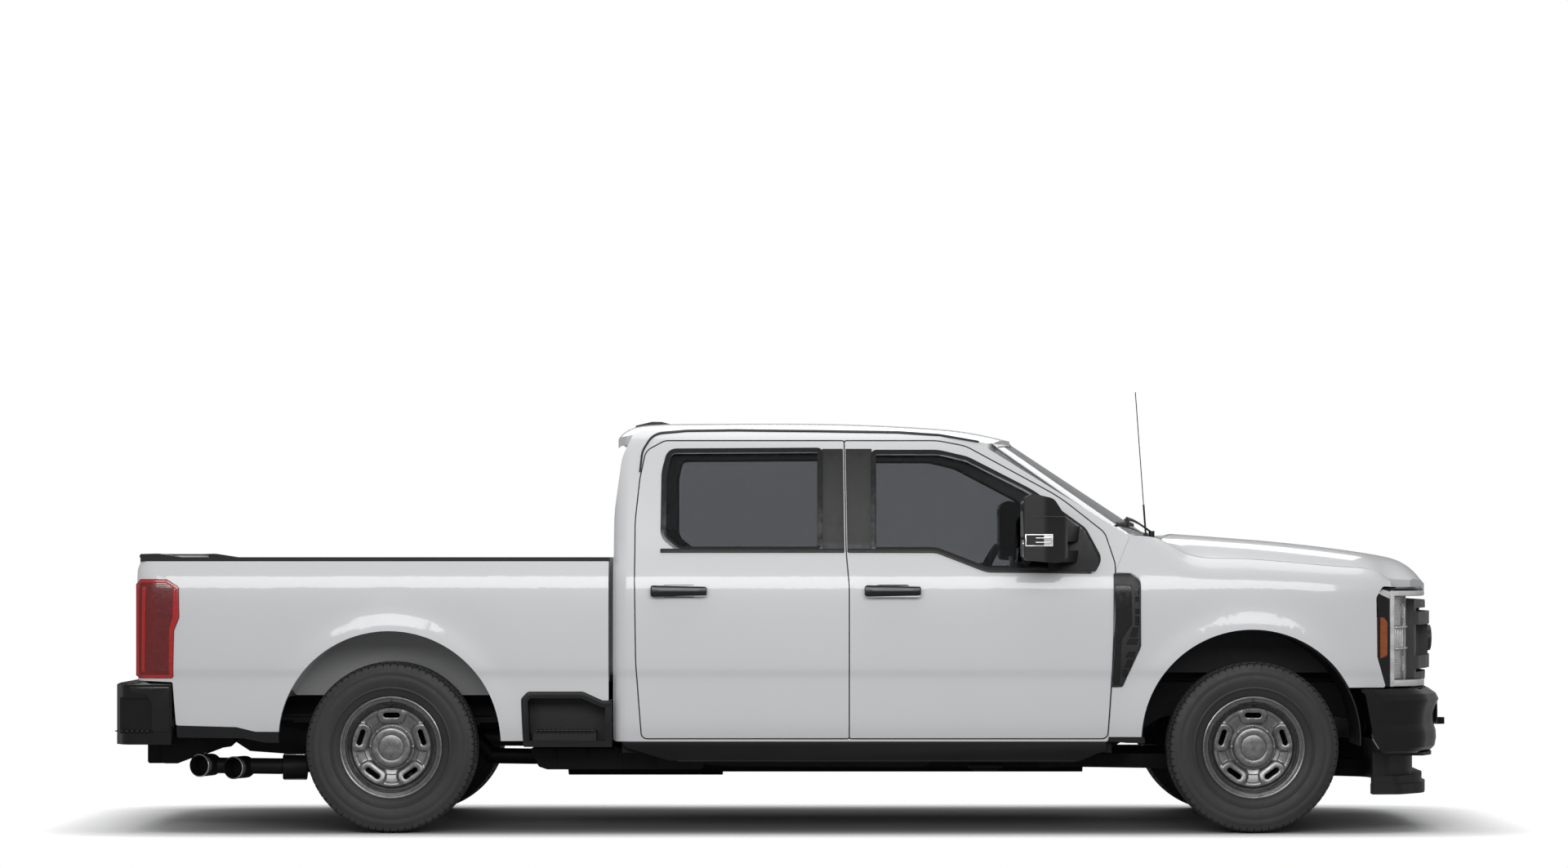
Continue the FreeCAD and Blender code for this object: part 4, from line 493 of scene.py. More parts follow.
def makeRim():
    barrel = [(0.222, -0.100), (0.240, -0.101), (0.2405, -0.097), (0.226, -0.092),
              (0.219, -0.086), (0.216, -0.05), (0.200, -0.02), (0.200, 0.02), (0.214, 0.05), (0.216, 0.088),
              (0.226, 0.094), (0.2395, 0.098), (0.2400, 0.1015), (0.2360, 0.1030), (0.2310, 0.1010),
              (0.2285, 0.0965), (0.2240, 0.0940), (0.2200, 0.0900), (0.2165, 0.0800), (0.2135, 0.0710),
              (0.2090, 0.0670), (0.2060, 0.0560), (0.2035, 0.0400), (0.1930, 0.0200), (0.1930, -0.02),
              (0.209, -0.055), (0.211, -0.086), (0.222, -0.100)]
    pieces = [turned("barrel", barrel, 120, 32)]
    face = [(0.2060, 0.040), (0.1980, 0.044), (0.1930, 0.0485), (0.1895, 0.0570), (0.1870, 0.0640),
            (0.1840, 0.0672)]
    face += [(0.1840 - 0.0048 * step, 0.0672 - 0.00005 * step ** 2) for step in range(1, 17)]
    face += [(0.104, 0.050), (0.098, 0.046), (0.090, 0.045)]
    back = [(r, y - 0.008) for r, y in reversed(face)]
    disc = turned("disc", face + back + [face[0]], 300, 30)
    for vertex in disc.data.vertices:
        radius = math.hypot(vertex.co.x, vertex.co.z)
        if 0.11 < radius < 0.1865:
            vertex.co.y += discRelief(vertex.co.x, vertex.co.z)
    outline = stadium(wheel["slotLength"], wheel["slotHeight"])
    for index in range(wheel["slots"]):
        turn = Matrix.Rotation(math.radians(index * slotTurn), 4, "Y")
        cutter = outlinePlate("slotCutter", outline, lambda a, b: (a, 0.0, b + wheel["slotCircle"]),
                              (0, 0.12, 0), 0)
        cutter.data.transform(turn)
        disc = cutWith(disc, cutter)
        lip = tubeAlong("slotLip", [(a * 1.02, 0.0640, b * 1.04 + wheel["slotCircle"]) for a, b in outline],
                        0.0024, closed=True, sides=3)
        lip.data.transform(turn)
        pieces.append(lip)
    pieces.append(smooth(disc, 30))
    pieces.append(turned("hubWall", [(0.100, 0.046), (0.090, 0.046), (0.072, 0.038), (0.072, -0.030),
                                     (0.035, -0.034), (0.035, 0.024), (0.060, 0.030), (0.100, 0.040),
                                     (0.100, 0.046)], 64))
    face = wheel["capFace"]
    cap = [(0.1075, 0.0475), (0.1075, 0.0540), (0.1050, 0.0560), (0.0985, 0.0565), (0.0965, 0.0600),
           (0.0955, 0.0770), (0.0935, face - 0.0060), (0.0890, face - 0.0015), (0.0840, face),
           (0.0640, face + 0.0003), (0.0605, face - 0.0012), (0.0590, face - 0.0030), (0.0575, face - 0.0012),
           (0.0540, face - 0.0002), (0.0300, face + 0.0006), (0.0, face + 0.0009)]
    pieces.append(turned("cap", cap, 96, 28))
    clip = blockAt("clip", (-0.0085, 0.0545, 0.0945), (0.0085, 0.0610, 0.1045), 0.0022, 2)
    for index in range(wheel["notches"]):
        pieces.append(turnedCopy(clip, "clip", index * 360 / wheel["notches"]))
    bpy.data.objects.remove(clip)
    stem = tubeAlong("stem", [(0, 0.070, 0.197), (0, 0.086, 0.199), (0, 0.099, 0.205)], 0.0048)
    return joinAll(pieces, "rimSteel"), stem


print("wheels")
tyreShape = makeTyre()
rimShape, stemShape = makeRim()


bodyOf = {member: body for body, members in frame["record"]["behaviour"]["bodies"].items()
          for member in members}
axle = {"front": 2.191, "rear": -1.868}
track = {"front": 0.8675, "rear": 0.8545}


def fitWheel(row, side):
    sign = 1 if side == "left" else -1
    tag = row + "_" + side
    centre = (axle[row], sign * track[row], wheel["radius"])
    for shape, name, material, slotName, node in (
            (tyreShape, "tyreDressed_", tyreRubber, "tyre", "tyre_"),
            (rimShape, "rimDressed_", wheelSteel, "wheel_steel", "rim_"),
            (stemShape, "stem_", blackTrim, "black_plastic", None)):
        piece = copyOf(shape, name + tag) if sign > 0 else mirroredCopy(shape, name + tag)
        piece.data.transform(Matrix.Translation(centre))
        paintWith(piece, material)
        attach(piece, bodyOf["tyre_" + tag])
        if node:
            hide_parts(node + tag)


for row in axle:
    for side in ("left", "right"):
        fitWheel(row, side)
for shape in (tyreShape, rimShape, stemShape):
    bpy.data.objects.remove(shape)


# the outer skin of the body, as the CAD solids have it
cab = {"back": -0.822, "corner": 0.085, "belt": 1.327}
bedRear = -3.059
sideProfile = [
    (0.300, 0.064), (0.420, 0.058), (0.470, 0.038), (0.520, 0.026), (0.640, 0.018),
    (0.736, 0.014), (0.770, 0.004), (0.900, 0.0), (1.050, 0.0), (1.150, 0.004), (1.215, 0.014),
    (1.270, 0.034), (1.327, 0.052), (1.400, 0.070), (1.600, 0.118), (1.780, 0.168), (1.850, 0.196),
    (1.880, 0.220), (1.900, 0.250), (1.930, 0.300),
]
fenderTop = [
    (1.531, 1.404), (1.711, 1.396), (1.791, 1.370), (1.871, 1.320), (1.951, 1.299), (2.171, 1.293),
    (2.578, 1.258), (2.767, 1.240), (2.834, 1.184), (2.853, 1.173), (2.963, 1.169), (3.051, 1.164),
]
roofLine = [
    (-0.842, 1.850), (-0.792, 1.910), (-0.722, 1.938), (-0.622, 1.947), (-0.402, 1.950), (0.197, 1.950),
    (0.439, 1.941), (0.742, 1.925), (0.923, 1.905), (1.041, 1.877), (1.141, 1.838),
]
backLine = [(0.400, 0.0), (1.500, 0.0), (1.640, 0.012), (1.771, 0.036), (1.885, 0.088), (1.920, 0.110)]
windshield = {"foot": (1.609, 1.397), "slope": 0.66, "bow": 0.165, "half": 0.812}


def smoothPath(points, at):  # the height of a smooth curve through the points
    if at <= points[0][0]:
        return points[0][1]
    if at >= points[-1][0]:
        return points[-1][1]
    slopes = []
    for index in range(len(points)):
        before = points[max(index - 1, 0)]
        after = points[min(index + 1, len(points) - 1)]
        slopes.append((after[1] - before[1]) / (after[0] - before[0]))
    index = 0
    while at > points[index + 1][0]:
        index += 1
    a, b = points[index], points[index + 1]
    span = b[0] - a[0]
    t = (at - a[0]) / span
    rise = (2 * t ** 3 - 3 * t ** 2 + 1) * a[1] + (3 * t ** 2 - 2 * t ** 3) * b[1]
    bend = (t ** 3 - 2 * t ** 2 + t) * slopes[index] + (t ** 3 - t ** 2) * slopes[index + 1]
    return rise + bend * span


def sideBase(z):
    return 1.003 - smoothPath(sideProfile, z)


def flare(x, z, archX, archZ, radius):  # the lip round a wheel arch
    return 0.013 * ease(1 - (math.hypot(x - archX, z - archZ) - radius) / 0.105)


def roundOff(share):  # how far a quarter circle has fallen, kept off its upright end
    return 1 - math.sqrt(1 - min(max(share, 0), 0.97) ** 2)


def cabSide(x, z):
    return sideBase(z) - cab["corner"] * 0.8 * roundOff((cab["back"] + cab["corner"] - x) / cab["corner"])


def bedSide(x, z):
    tuck = cab["corner"] * 0.45 * roundOff((bedRear + cab["corner"] - x) / cab["corner"])
    return sideBase(min(z, cab["belt"])) + flare(x, z, axle["rear"] - 0.004, 0.430, 0.522) - tuck


def frontSide(x, z):
    rollHeight = 0.115
    rollDepth = 0.062 * ease((x - axle["front"] + 0.640) / 0.350)
    tuck = 0.105 * max((x - axle["front"] - 0.150) / 0.800, 0) ** 2.5
    side = sideBase(z) + flare(x, z, axle["front"] - 0.011, 0.441, 0.518)
    return side - tuck - rollDepth * roundOff((z - smoothPath(fenderTop, x) + rollHeight) / rollHeight)


def roofHeight(x, y):
    across = abs(y) / 0.752
    return smoothPath(roofLine, x) - 0.052 * (0.35 * across ** 2 + 0.65 * across ** 6)


def windshieldHeight(x, y):
    bow = windshield["bow"] * (1 - (abs(y) / windshield["half"]) ** 2)
    return windshield["foot"][1] + (windshield["foot"][0] + bow - x) * windshield["slope"]


# these turn a flat point into a place on the skin; lift is the distance outward
def onSide(skin, lift):
    return lambda x, z: (x, -skin(x, z) - lift, z)


def onTop(height, lift):
    return lambda x, y: (x, y, height(x, y) + lift)


def onBack(lift):
    return lambda y, z: (cab["back"] + smoothPath(backLine, z) - lift, y, z)


# lines, ribbons and plates that follow a skin
def roundLine(points, closed=True, corners=6):  # a third number in a point is the radius of its corner
    line = []
    count = len(points)
    for index, point in enumerate(points):
        here = Vector(point[:2])
        if len(point) < 3 or (not closed and index in (0, count - 1)):
            line.append(here)
            continue
        before = Vector(points[index - 1][:2]) - here
        after = Vector(points[(index + 1) % count][:2]) - here
        half = before.angle(after) / 2
        reach = min(point[2] / math.tan(half), before.length * 0.48, after.length * 0.48)
        start = here + before.normalized() * reach
        end = here + after.normalized() * reach
        for step in range(corners + 1):
            t = step / corners
            line.append(start * (1 - t) ** 2 + here * 2 * t * (1 - t) + end * t ** 2)
    return line


def fineLine(points, spacing, closed):
    line = []
    last = len(points) if closed else len(points) - 1
    for index in range(last):
        start, end = points[index], points[(index + 1) % len(points)]
        parts = max(int((end - start).length / spacing + 0.5), 1)
        line += [start.lerp(end, step / parts) for step in range(parts)]
    if not closed:
        line.append(points[-1])
    return line


def besideLine(line, distance, closed):
    moved = []
    count = len(line)
    for index, here in enumerate(line):
        before = line[index - 1] if closed or index else here
        after = line[(index + 1) % count] if closed or index < count - 1 else here
        run = (after - before).normalized()
        moved.append(here + Vector((run.y, -run.x)) * distance)
    return moved


def netOf(name, columns, rows, spotFor):  # a net of quads; spotFor takes the two shares along it
    deselectAll()
    bpy.ops.mesh.primitive_grid_add(x_subdivisions=columns, y_subdivisions=rows, size=1)
    piece = newPiece(name)
    for vertex in piece.data.vertices:
        vertex.co = spotFor(vertex.co.x + 0.5, vertex.co.y + 0.5)
    return piece


def thicken(piece, thickness, bevelWidth=0.0):  # to both sides
    fixNormals(piece)
    withModifier(piece, "SOLIDIFY", thickness=thickness, offset=0, use_even_offset=True)
    fixNormals(piece, 0)
    return smooth(bevelEdges(piece, bevelWidth))


def ribbon(name, points, width, spotFor, thickness, closed=True, bevelWidth=0.0, shift=0.0, spacing=0.05):
    # a strip of one width along a rounded line, laid on a skin
    line = fineLine(roundLine(points, closed), spacing, closed)
    one = besideLine(line, shift + width / 2, closed)
    other = besideLine(line, shift - width / 2, closed)
    if closed:
        one.append(one[0])
        other.append(other[0])
    last = len(one) - 1

    def spot(u, v):
        index = round(u * last)
        return spotFor(*(one[index] if v > 0.5 else other[index]))

    return thicken(netOf(name, last, 1, spot), thickness, bevelWidth)


def plateOn(name, points, spotFor, thickness, across=0.06, bevelWidth=0.0015):
    # a curved plate on a side: a net over the outline's box, thickened and cut to the outline
    line = roundLine(points)
    low = Vector((min(point.x for point in line), min(point.y for point in line)))
    high = Vector((max(point.x for point in line), max(point.y for point in line)))
    edge, reach = 0.01, 0.3
    size = high - low
    net = netOf(name, max(int(size.x / across), 1) + 1, max(int(size.y / across), 1) + 1,
                lambda u, v: spotFor(low.x - edge + u * (size.x + 2 * edge),
                                     low.y - edge + v * (size.y + 2 * edge)))
    thicken(net, thickness)
    start = sum(vertex.co.y for vertex in net.data.vertices) / len(net.data.vertices) - reach

    def cutterSpot(a, b):
        spot = spotFor(a, b)
        return (spot[0], start, spot[2])

    cutter = outlinePlate("cutter", [tuple(point) for point in line], cutterSpot, (0, reach * 2, 0), 0)
    withModifier(net, "BOOLEAN", object=cutter, operation="INTERSECT", solver="EXACT")
    bpy.data.objects.remove(cutter)
    fixNormals(net, 0.00005)
    return smooth(bevelEdges(net, bevelWidth, angle_limit=math.radians(50)))


# covers are the CAD nodes that a piece stands for
def dress(piece, material, body="root", covers=()):
    paintWith(piece, material)
    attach(piece, body)
    if covers:
        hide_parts(*covers)
    return piece


def dressBoth(piece, material, body="root", covers=()):
    # the piece is made for the right side, which the photo shows, and mirrored; SIDE in a body takes its side
    name = piece.name
    twin = mirroredCopy(piece, name + "_left")
    piece.name = name + "_right"
    return (dress(piece, material, body.replace("SIDE", "right"), covers),
            dress(twin, material, body.replace("SIDE", "left"), covers))


print("doors and glass")
doorTrim = {
    "rear": {
        "window": [(0.148, 1.339, 0.014), (0.148, 1.800, 0.012), (-0.557, 1.796, 0.040),
                   (-0.581, 1.700, 0.200), (-0.583, 1.400, 0.060), (-0.509, 1.339, 0.060)],
        "belt": [(-0.600, 1.329), (0.2650, 1.329)],
        "pillar": [(0.160, 1.322, 0.004), (0.2665, 1.322, 0.004), (0.2600, 1.812, 0.004),
                   (0.160, 1.812, 0.004)],
        "handle": (-0.5115, 1.1395),
    },
    "front": {
        "window": [(0.408, 1.790, 0.012), (0.408, 1.337, 0.012), (0.695, 1.337, 0.120), (0.931, 1.246, 0.120),
                   (1.431, 1.240, 0.014), (1.461, 1.290, 0.060), (1.391, 1.424, 0.060), (1.151, 1.600, 0.600),
                   (0.846, 1.758, 0.160), (0.711, 1.790, 0.200)],
        "belt": [(0.2830, 1.329), (0.700, 1.328, 0.120), (0.936, 1.237, 0.120), (1.425, 1.231)],
        "pillar": [(0.2800, 1.322, 0.004), (0.396, 1.322, 0.004), (0.396, 1.812, 0.004),
                   (0.2720, 1.812, 0.004)],
        "handle": (0.4925, 1.1395),
    },
}


def bandBetween(name, points, spotOne, spotOther, thickness):
    # a strip between two ways of placing the same closed line
    line = fineLine(roundLine(points), 0.05, closed=True)
    line.append(line[0])
    last = len(line) - 1

    def spot(u, v):
        return (spotOther if v > 0.5 else spotOne)(*line[round(u * last)])

    return thicken(netOf(name, last, 1, spot), thickness)


def boxLine(low, high, foot, top, radius):  # the corners of an upright box
    return [(low, foot, radius), (high, foot, radius), (high, top, radius), (low, top, radius)]


def makeHandle(name, x, z):
    halfLength, halfHeight, taper = 0.1325, 0.0285, 0.006
    grip = plateOn(name + "Grip", [
        (x - halfLength, z - halfHeight, 0.016), (x + halfLength, z - halfHeight + taper, 0.012),
        (x + halfLength, z + halfHeight - taper, 0.012), (x - halfLength, z + halfHeight, 0.016)],
        onSide(cabSide, 0.0265), 0.0195, bevelWidth=0.0065)
    feet = [plateOn(name + "Foot", boxLine(middle - 0.026, middle + 0.026, z - 0.024, z + 0.024, 0.008),
                    onSide(cabSide, 0.0125), 0.027, bevelWidth=0.004) for middle in (x - 0.103, x + 0.103)]
    return joinAll([grip] + feet, name)


def dressDoor(row):
    shape = doorTrim[row]
    x, z = shape["handle"]
    frameRing = ribbon(row + "WindowFrame", shape["window"], 0.026, onSide(cabSide, 0.0012), 0.0044,
                       bevelWidth=0.0012, shift=0.004)
    reveal = bandBetween(row + "WindowReveal", shape["window"], onSide(cabSide, 0.001),
                         onSide(cabSide, -0.0165), 0.003)
    windowFrame = joinAll([frameRing, reveal], row + "WindowFrame")
    belt = ribbon(row + "BeltTrim", shape["belt"], 0.019, onSide(cabSide, 0.003), 0.008, closed=False,
                  bevelWidth=0.0025)
    pillar = plateOn(row + "PillarPanel", shape["pillar"], onSide(cabSide, 0.0012), 0.0040, bevelWidth=0.001)
    cup = plateOn(row + "HandleCup", boxLine(x - 0.082, x + 0.082, z - 0.030, z + 0.030, 0.02),
                  onSide(cabSide, 0.0006), 0.0012, bevelWidth=0.0004)
    for piece, material in ((windowFrame, glossTrim), (belt, blackTrim), (pillar, pillarBlack),
                            (makeHandle(row + "Handle", x, z), glossTrim), (cup, blackTrim)):
        dressBoth(piece, material, "door_" + row + "_SIDE")


for row in ("front", "rear"):
    dressDoor(row)

# the drip moulding over the doors
dripLine = [
    (-0.700, 1.700), (-0.690, 1.800, 0.10), (-0.640, 1.885, 0.09), (-0.480, 1.899, 0.1), (-0.252, 1.9015),
    (0.136, 1.8975), (0.524, 1.8915, 0.2), (0.720, 1.878, 0.2), (0.905, 1.845)]
drip = ribbon("dripMoulding", dripLine, 0.009, onSide(cabSide, 0.002), 0.007, closed=False, bevelWidth=0.002)
dressBoth(drip, blackTrim)

# glass edges at the front and rear of the cab
pillarWidth = 0.066
topHalf = sideBase(1.811) - pillarWidth
footX, footZ = windshield["foot"]
footHalf = sideBase(footZ) - pillarWidth
windshieldEdge = [
    (0.990, topHalf, 0.03), (footX - 0.020, footHalf, 0.05), (footX + 0.130, 0.300, 0.9),
    (footX + 0.130, -0.300, 0.9), (footX - 0.020, -footHalf, 0.05), (0.990, -topHalf, 0.03),
    (1.080, -0.400, 0.6), (1.080, 0.400, 0.6)]
dress(ribbon("windshieldSeal", windshieldEdge, 0.030, onTop(windshieldHeight, 0.0012), 0.0035,
             bevelWidth=0.001, shift=-0.013), glossTrim)
backWindow = [(-0.640, 1.360, 0.06), (0.640, 1.360, 0.06), (0.560, 1.780, 0.07), (-0.560, 1.780, 0.07)]
rearSeal = ribbon("rearWindowSeal", backWindow, 0.036, onBack(0.0015), 0.005, bevelWidth=0.0015, shift=0.004)
rearReveal = bandBetween("rearWindowReveal", backWindow, onBack(0.001), onBack(-0.017), 0.003)
dress(joinAll([rearSeal, rearReveal], "rearWindowSeal"), glossTrim)

# the vents behind the front wheels, bare of lettering
ventOutline = [(1.5300, 1.2225, 0.004), (1.6070, 1.2225, 0.030), (1.6560, 1.1900, 0.040),
               (1.6575, 0.8810, 0.030), (1.5720, 0.6890, 0.016), (1.5180, 0.6890, 0.006),
               (1.5280, 0.9500, 0.5)]
ventPanel = [(1.5370, 1.1660, 0.003), (1.6120, 1.1660, 0.010), (1.6160, 0.9820, 0.030),
             (1.5670, 0.9120, 0.030), (1.5560, 0.6990, 0.004), (1.5240, 0.6990, 0.004)]
ventOpenings = [
    (1.6290, 1.6487, 1.1230, 1.1539), (1.6290, 1.6487, 1.0879, 1.1143), (1.6290, 1.6487, 1.0306, 1.0570),
    (1.6290, 1.6487, 0.9778, 1.0218), (1.6010, 1.6450, 0.9227, 0.9690), (1.5850, 1.6440, 0.8875, 0.9160),
    (1.5800, 1.6330, 0.8259, 0.8545), (1.5760, 1.6180, 0.7774, 0.8193), (1.5717, 1.5937, 0.7356, 0.7708),
]


def makeVent():
    plate = plateOn("ventPlate", ventOutline, onSide(frontSide, 0.0022), 0.0072, 0.03, 0.0016)
    outside, through = sideSpot(-1.06), (0, 0.12, 0)
    cutters = [roundedPlate("ventCut", ventPanel, outside, through, 0)]
    for low, high, foot, top in ventOpenings:
        lean = 0.018 if high - low > 0.030 else 0.0
        cutters.append(outlinePlate("ventCut", [(low, foot), (high - lean * 0.4, foot), (high, top),
                                                (low + lean, top)],
                                    outside, through, 0))
    plate = cutWith(plate, joinAll(cutters, "ventCuts"))
    dressBoth(smooth(plate), pillarBlack, covers=["fender_vents"])
    inset = 0.003
    inner = [(x + inset * ((x < 1.55) - (x > 1.6)), z + inset * ((z < 0.7) - (z > 1.2)), radius)
             for x, z, radius in ventOutline]
    back = plateOn("ventBack", inner, onSide(frontSide, -0.0035), 0.003, 0.03, 0.0005)
    dressBoth(back, glossTrim)


makeVent()


def makeMirrorSignal():  # the turn signal on the outer face of the mirror
    low, high, foot, top = 1.095, 1.226, 1.347, 1.406
    y = -1.345
    surround = blockAt("signalFrame", (low, y - 0.004, foot), (high, y + 0.010, top), 0.004)
    hollow = blockAt("signalCut", (low + 0.006, y - 0.010, foot + 0.006),
                     (high - 0.006, y + 0.004, top - 0.006), 0)
    surround = cutWith(surround, hollow)
    bars = [blockAt("signalBar", (low + 0.050, y - 0.002, z), (high - 0.012, y + 0.006, z + 0.005), 0.001)
            for z in (foot + 0.017, top - 0.022)]
    dressBoth(joinAll([surround] + bars, "mirrorSignalFrame"), chrome, "door_front_SIDE")
    lens = blockAt("mirrorSignalLens", (low + 0.005, y + 0.0005, foot + 0.005),
                   (high - 0.005, y + 0.006, top - 0.005), 0.001)
    dressBoth(lens, whiteLens, "door_front_SIDE")


makeMirrorSignal()


print("headlamps and grille")
lamp = {
    "plan": [(3.031, 0.600, 0.02), (3.017, 0.730, 0.200), (2.961, 0.862, 0.120), (2.831, 0.935, 0.200),
             (2.751, 0.950)],
    "lensPlan": [(2.944, 0.604, 0.01), (2.920, 0.740, 0.300), (2.844, 0.914, 0.050), (2.790, 0.935)],
    "low": 0.690, "high": 1.150, "lensLow": 0.722, "lensHigh": 1.115, "module": (0.862, 0.972), "bar": 2.845,
}


def lampLine(plan):  # a fine line along the lamp's face in plan, and the length at each of its points
    points = fineLine(roundLine(plan, closed=False, corners=10), 0.01, closed=False)
    lengths = [0.0]
    for one, other in zip(points, points[1:]):
        lengths.append(lengths[-1] + (other - one).length)
    return points, lengths


barLine = lampLine(lamp["plan"])
lensLine = lampLine(lamp["lensPlan"])


def lampSpot(run, z, out, line=barLine):  # run is a length along the face, from the grille round to the side
    points, lengths = line
    index = 0
    while index < len(points) - 2 and lengths[index + 1] < run:
        index += 1
    start, end = points[index], points[index + 1]
    share = (run - lengths[index]) / (lengths[index + 1] - lengths[index])
    here = start.lerp(end, share)
    before = points[max(index - 2, 0)]
    after = points[min(index + 3, len(points) - 1)]
    way = (after - before).normalized()
    here -= Vector((-way.y, way.x)) * out
    return (here.x, -here.y, z)


def runAtX(x, line=barLine):
    for point, length in zip(*line):
        if point.x <= x:
            return length
    return line[1][-1]


def lampSide(x, z):  # a side view point on the lamp's own face
    return (x, lampSpot(runAtX(x), z, 0.0)[1] - 0.0035, z)


def lampPlate(name, start, end, low, high, out, thickness, bevelWidth, line=barLine):
    columns = max(int((end - start) / 0.012), 1) + 1
    rows = 2 if high - low > 0.02 else 1
    net = netOf(name, columns, rows, lambda u, v: lampSpot(start + u * (end - start),
                                                           low + v * (high - low), out, line))
    return thicken(net, thickness, bevelWidth)


def lampBowl(run, z, reach):
    spot = Vector(lampSpot(run, z, 0.002, lensLine))
    bowl = turned("lampBowl", [(0.006, 0.018), (reach * 0.55, 0.012), (reach * 0.9, 0.003), (reach, 0.0),
                               (reach, -0.004), (reach * 0.9, -0.002), (reach * 0.5, 0.009), (0.0, 0.015),
                               (0.006, 0.018)], 40)
    way = Vector(lampSpot(run, z, 0.02, lensLine)) - spot
    bowl.data.transform(Matrix.Translation(spot) @ way.to_track_quat("-Y", "Z").to_matrix().to_4x4())
    return bowl


def makeHeadlamp():
    barRun = runAtX(lamp["bar"])
    endRun = barLine[1][-1]
    lensEnd = runAtX(2.852, lensLine)
    fluteStart = runAtX(2.900, lensLine)
    low, high = lamp["lensLow"], lamp["lensHigh"]
    moduleLow, moduleHigh = lamp["module"]
    silver = [
        lampPlate("barSide", barRun - 0.013, barRun + 0.008, low - 0.034, high + 0.026, 0.003, 0.016, 0.004),
        lampPlate("barTop", 0.004, barRun - 0.004, high + 0.001, high + 0.025, 0.003, 0.016, 0.004),
        lampPlate("barLow", 0.004, barRun - 0.004, low - 0.033, low - 0.002, 0.003, 0.016, 0.004),
        lampPlate("barInner", 0.004, 0.018, low - 0.002, high + 0.002, 0.006, 0.016, 0.004, lensLine),
        lampPlate("moduleTop", 0.020, lensEnd, moduleHigh - 0.009, moduleHigh, 0.012, 0.024, 0.004, lensLine),
        lampPlate("moduleLow", 0.020, lensEnd, moduleLow, moduleLow + 0.009, 0.012, 0.024, 0.004, lensLine),
        plateOn("lampWing", [(2.798, 1.146, 0.003), (2.838, 1.136, 0.003), (2.834, 1.102, 0.003),
                             (2.779, 1.128, 0.003)],
                lampSide, 0.007, 0.012),
    ]
    dressBoth(joinAll(silver, "lampBars"), lampBar)
    housing = [
        lampPlate("lampSide", barRun + 0.006, endRun - 0.002, lamp["low"] + 0.006, lamp["high"] - 0.006,
                  0.0005, 0.004, 0.002),
        lampPlate("lampTop", 0.004, endRun - 0.012, high + 0.024, lamp["high"] + 0.001, 0.0015, 0.006, 0.003),
        lampPlate("lampDark", 0.018, lensEnd, low + 0.001, high - 0.001, 0.0015, 0.003, 0, lensLine),
    ]
    dressBoth(joinAll(housing, "lampHousing"), glossTrim)
    reflectors = []
    for bottom, top in ((low, moduleLow), (moduleHigh, high)):
        middle = (bottom + top) / 2
        for run in (0.062, 0.140):
            reflectors.append(lampBowl(run, middle, 0.036))
        count = int((top - bottom) / 0.0075)
        for row in range(count):
            z = bottom + 0.004 + (top - bottom - 0.008) * (row + 0.5) / count
            reflectors.append(lampPlate("flute", fluteStart, lensEnd - 0.004, z - 0.0030, z + 0.0030,
                                        0.0055, 0.005, 0.0012, lensLine))
    for row in range(4):
        run = lensEnd - 0.020 - row * 0.040
        reflectors.append(lampPlate("rib", run - 0.007, run + 0.007, moduleLow + 0.010,
                                    moduleHigh - 0.010, 0.008, 0.012, 0.003, lensLine))
    dressBoth(joinAll(reflectors, "lampReflectors"), lampSilver)
    covers = [lampPlate("lampLens", 0.020, lensEnd + 0.002, bottom, top, 0.0155, 0.003, 0.001, lensLine)
              for bottom, top in ((low, moduleLow - 0.001), (moduleHigh + 0.001, high))]
    dressBoth(joinAll(covers, "lampLens"), lampCover)
    amber = plateOn("lampAmber", [(2.769, 0.815, 0.010), (2.822, 0.835, 0.012), (2.823, 0.992, 0.012),
                                  (2.805, 1.015, 0.010), (2.769, 1.015, 0.008)],
                    lampSide, 0.006, 0.012, 0.0018)
    dressBoth(amber, lampAmber)


makeHeadlamp()


grille = {"low": 0.707, "high": 1.094, "barHeights": (1.006, 0.795)}


def grilleFace(y):  # the front face of the grille in plan
    return axle["front"] + 0.936 - 0.150 * (abs(y) / 0.640) ** 2


def wireNet(name, face, half, steps, levels, uprights, pitch, low, high, radius):
    # level wires from -half to half in steps, and upright ones at a pitch, in one curved plane behind a face
    def wire(places):
        return tubeAlong("wire", [(face(y) - 0.050, y, z) for y, z in places], radius, sides=2)

    wires = [wire([(-half + 2 * half * step / steps, z) for step in range(steps + 1)]) for z in levels]
    wires += [wire([(index * pitch, low), (index * pitch, high)]) for index in range(-uprights, uprights + 1)]
    return joinAll(wires, name)


def makeGrille():
    levels = [grille["low"] + 0.030 + index * 0.0255 for index in range(14)]
    mesh = wireNet("grilleMesh", grilleFace, 0.56, 16, levels, 18, 0.030, grille["low"] + 0.02,
                   grille["high"] - 0.02, 0.0030)
    dress(mesh, blackTrim)
    # slots sunk in the two thick bars, three to a side, left bare
    slots = []
    for z in grille["barHeights"]:
        for side in (-1, 1):
            for step in range(3):
                start = side * (0.215 + step * 0.115)
                width = side * 0.085
                slot = netOf("barSlot", 6, 1, lambda u, v: (
                    grilleFace(start + u * width) + 0.0105, start + u * width, z - 0.020 + v * 0.040))
                slots.append(thicken(slot, 0.003, 0.0012))
    dress(joinAll(slots, "grilleBarSlots"), glossTrim)
    ring = turned("bossRing", [(0.056, 0.0), (0.0635, -0.001), (0.0645, 0.006), (0.0600, 0.011),
                               (0.0560, 0.008), (0.0540, 0.003), (0.056, 0.0)], 72)
    dress(setOn(ring, (axle["front"] + 0.963, 0, 0.902), -math.pi / 2), grilleBlack)


makeGrille()


def bumperFace(y):  # the front face of the bumper in plan
    share = min(abs(y) / 0.930, 1.0)
    return axle["front"] + 0.934 - 0.020 * share - 0.105 * share ** 7


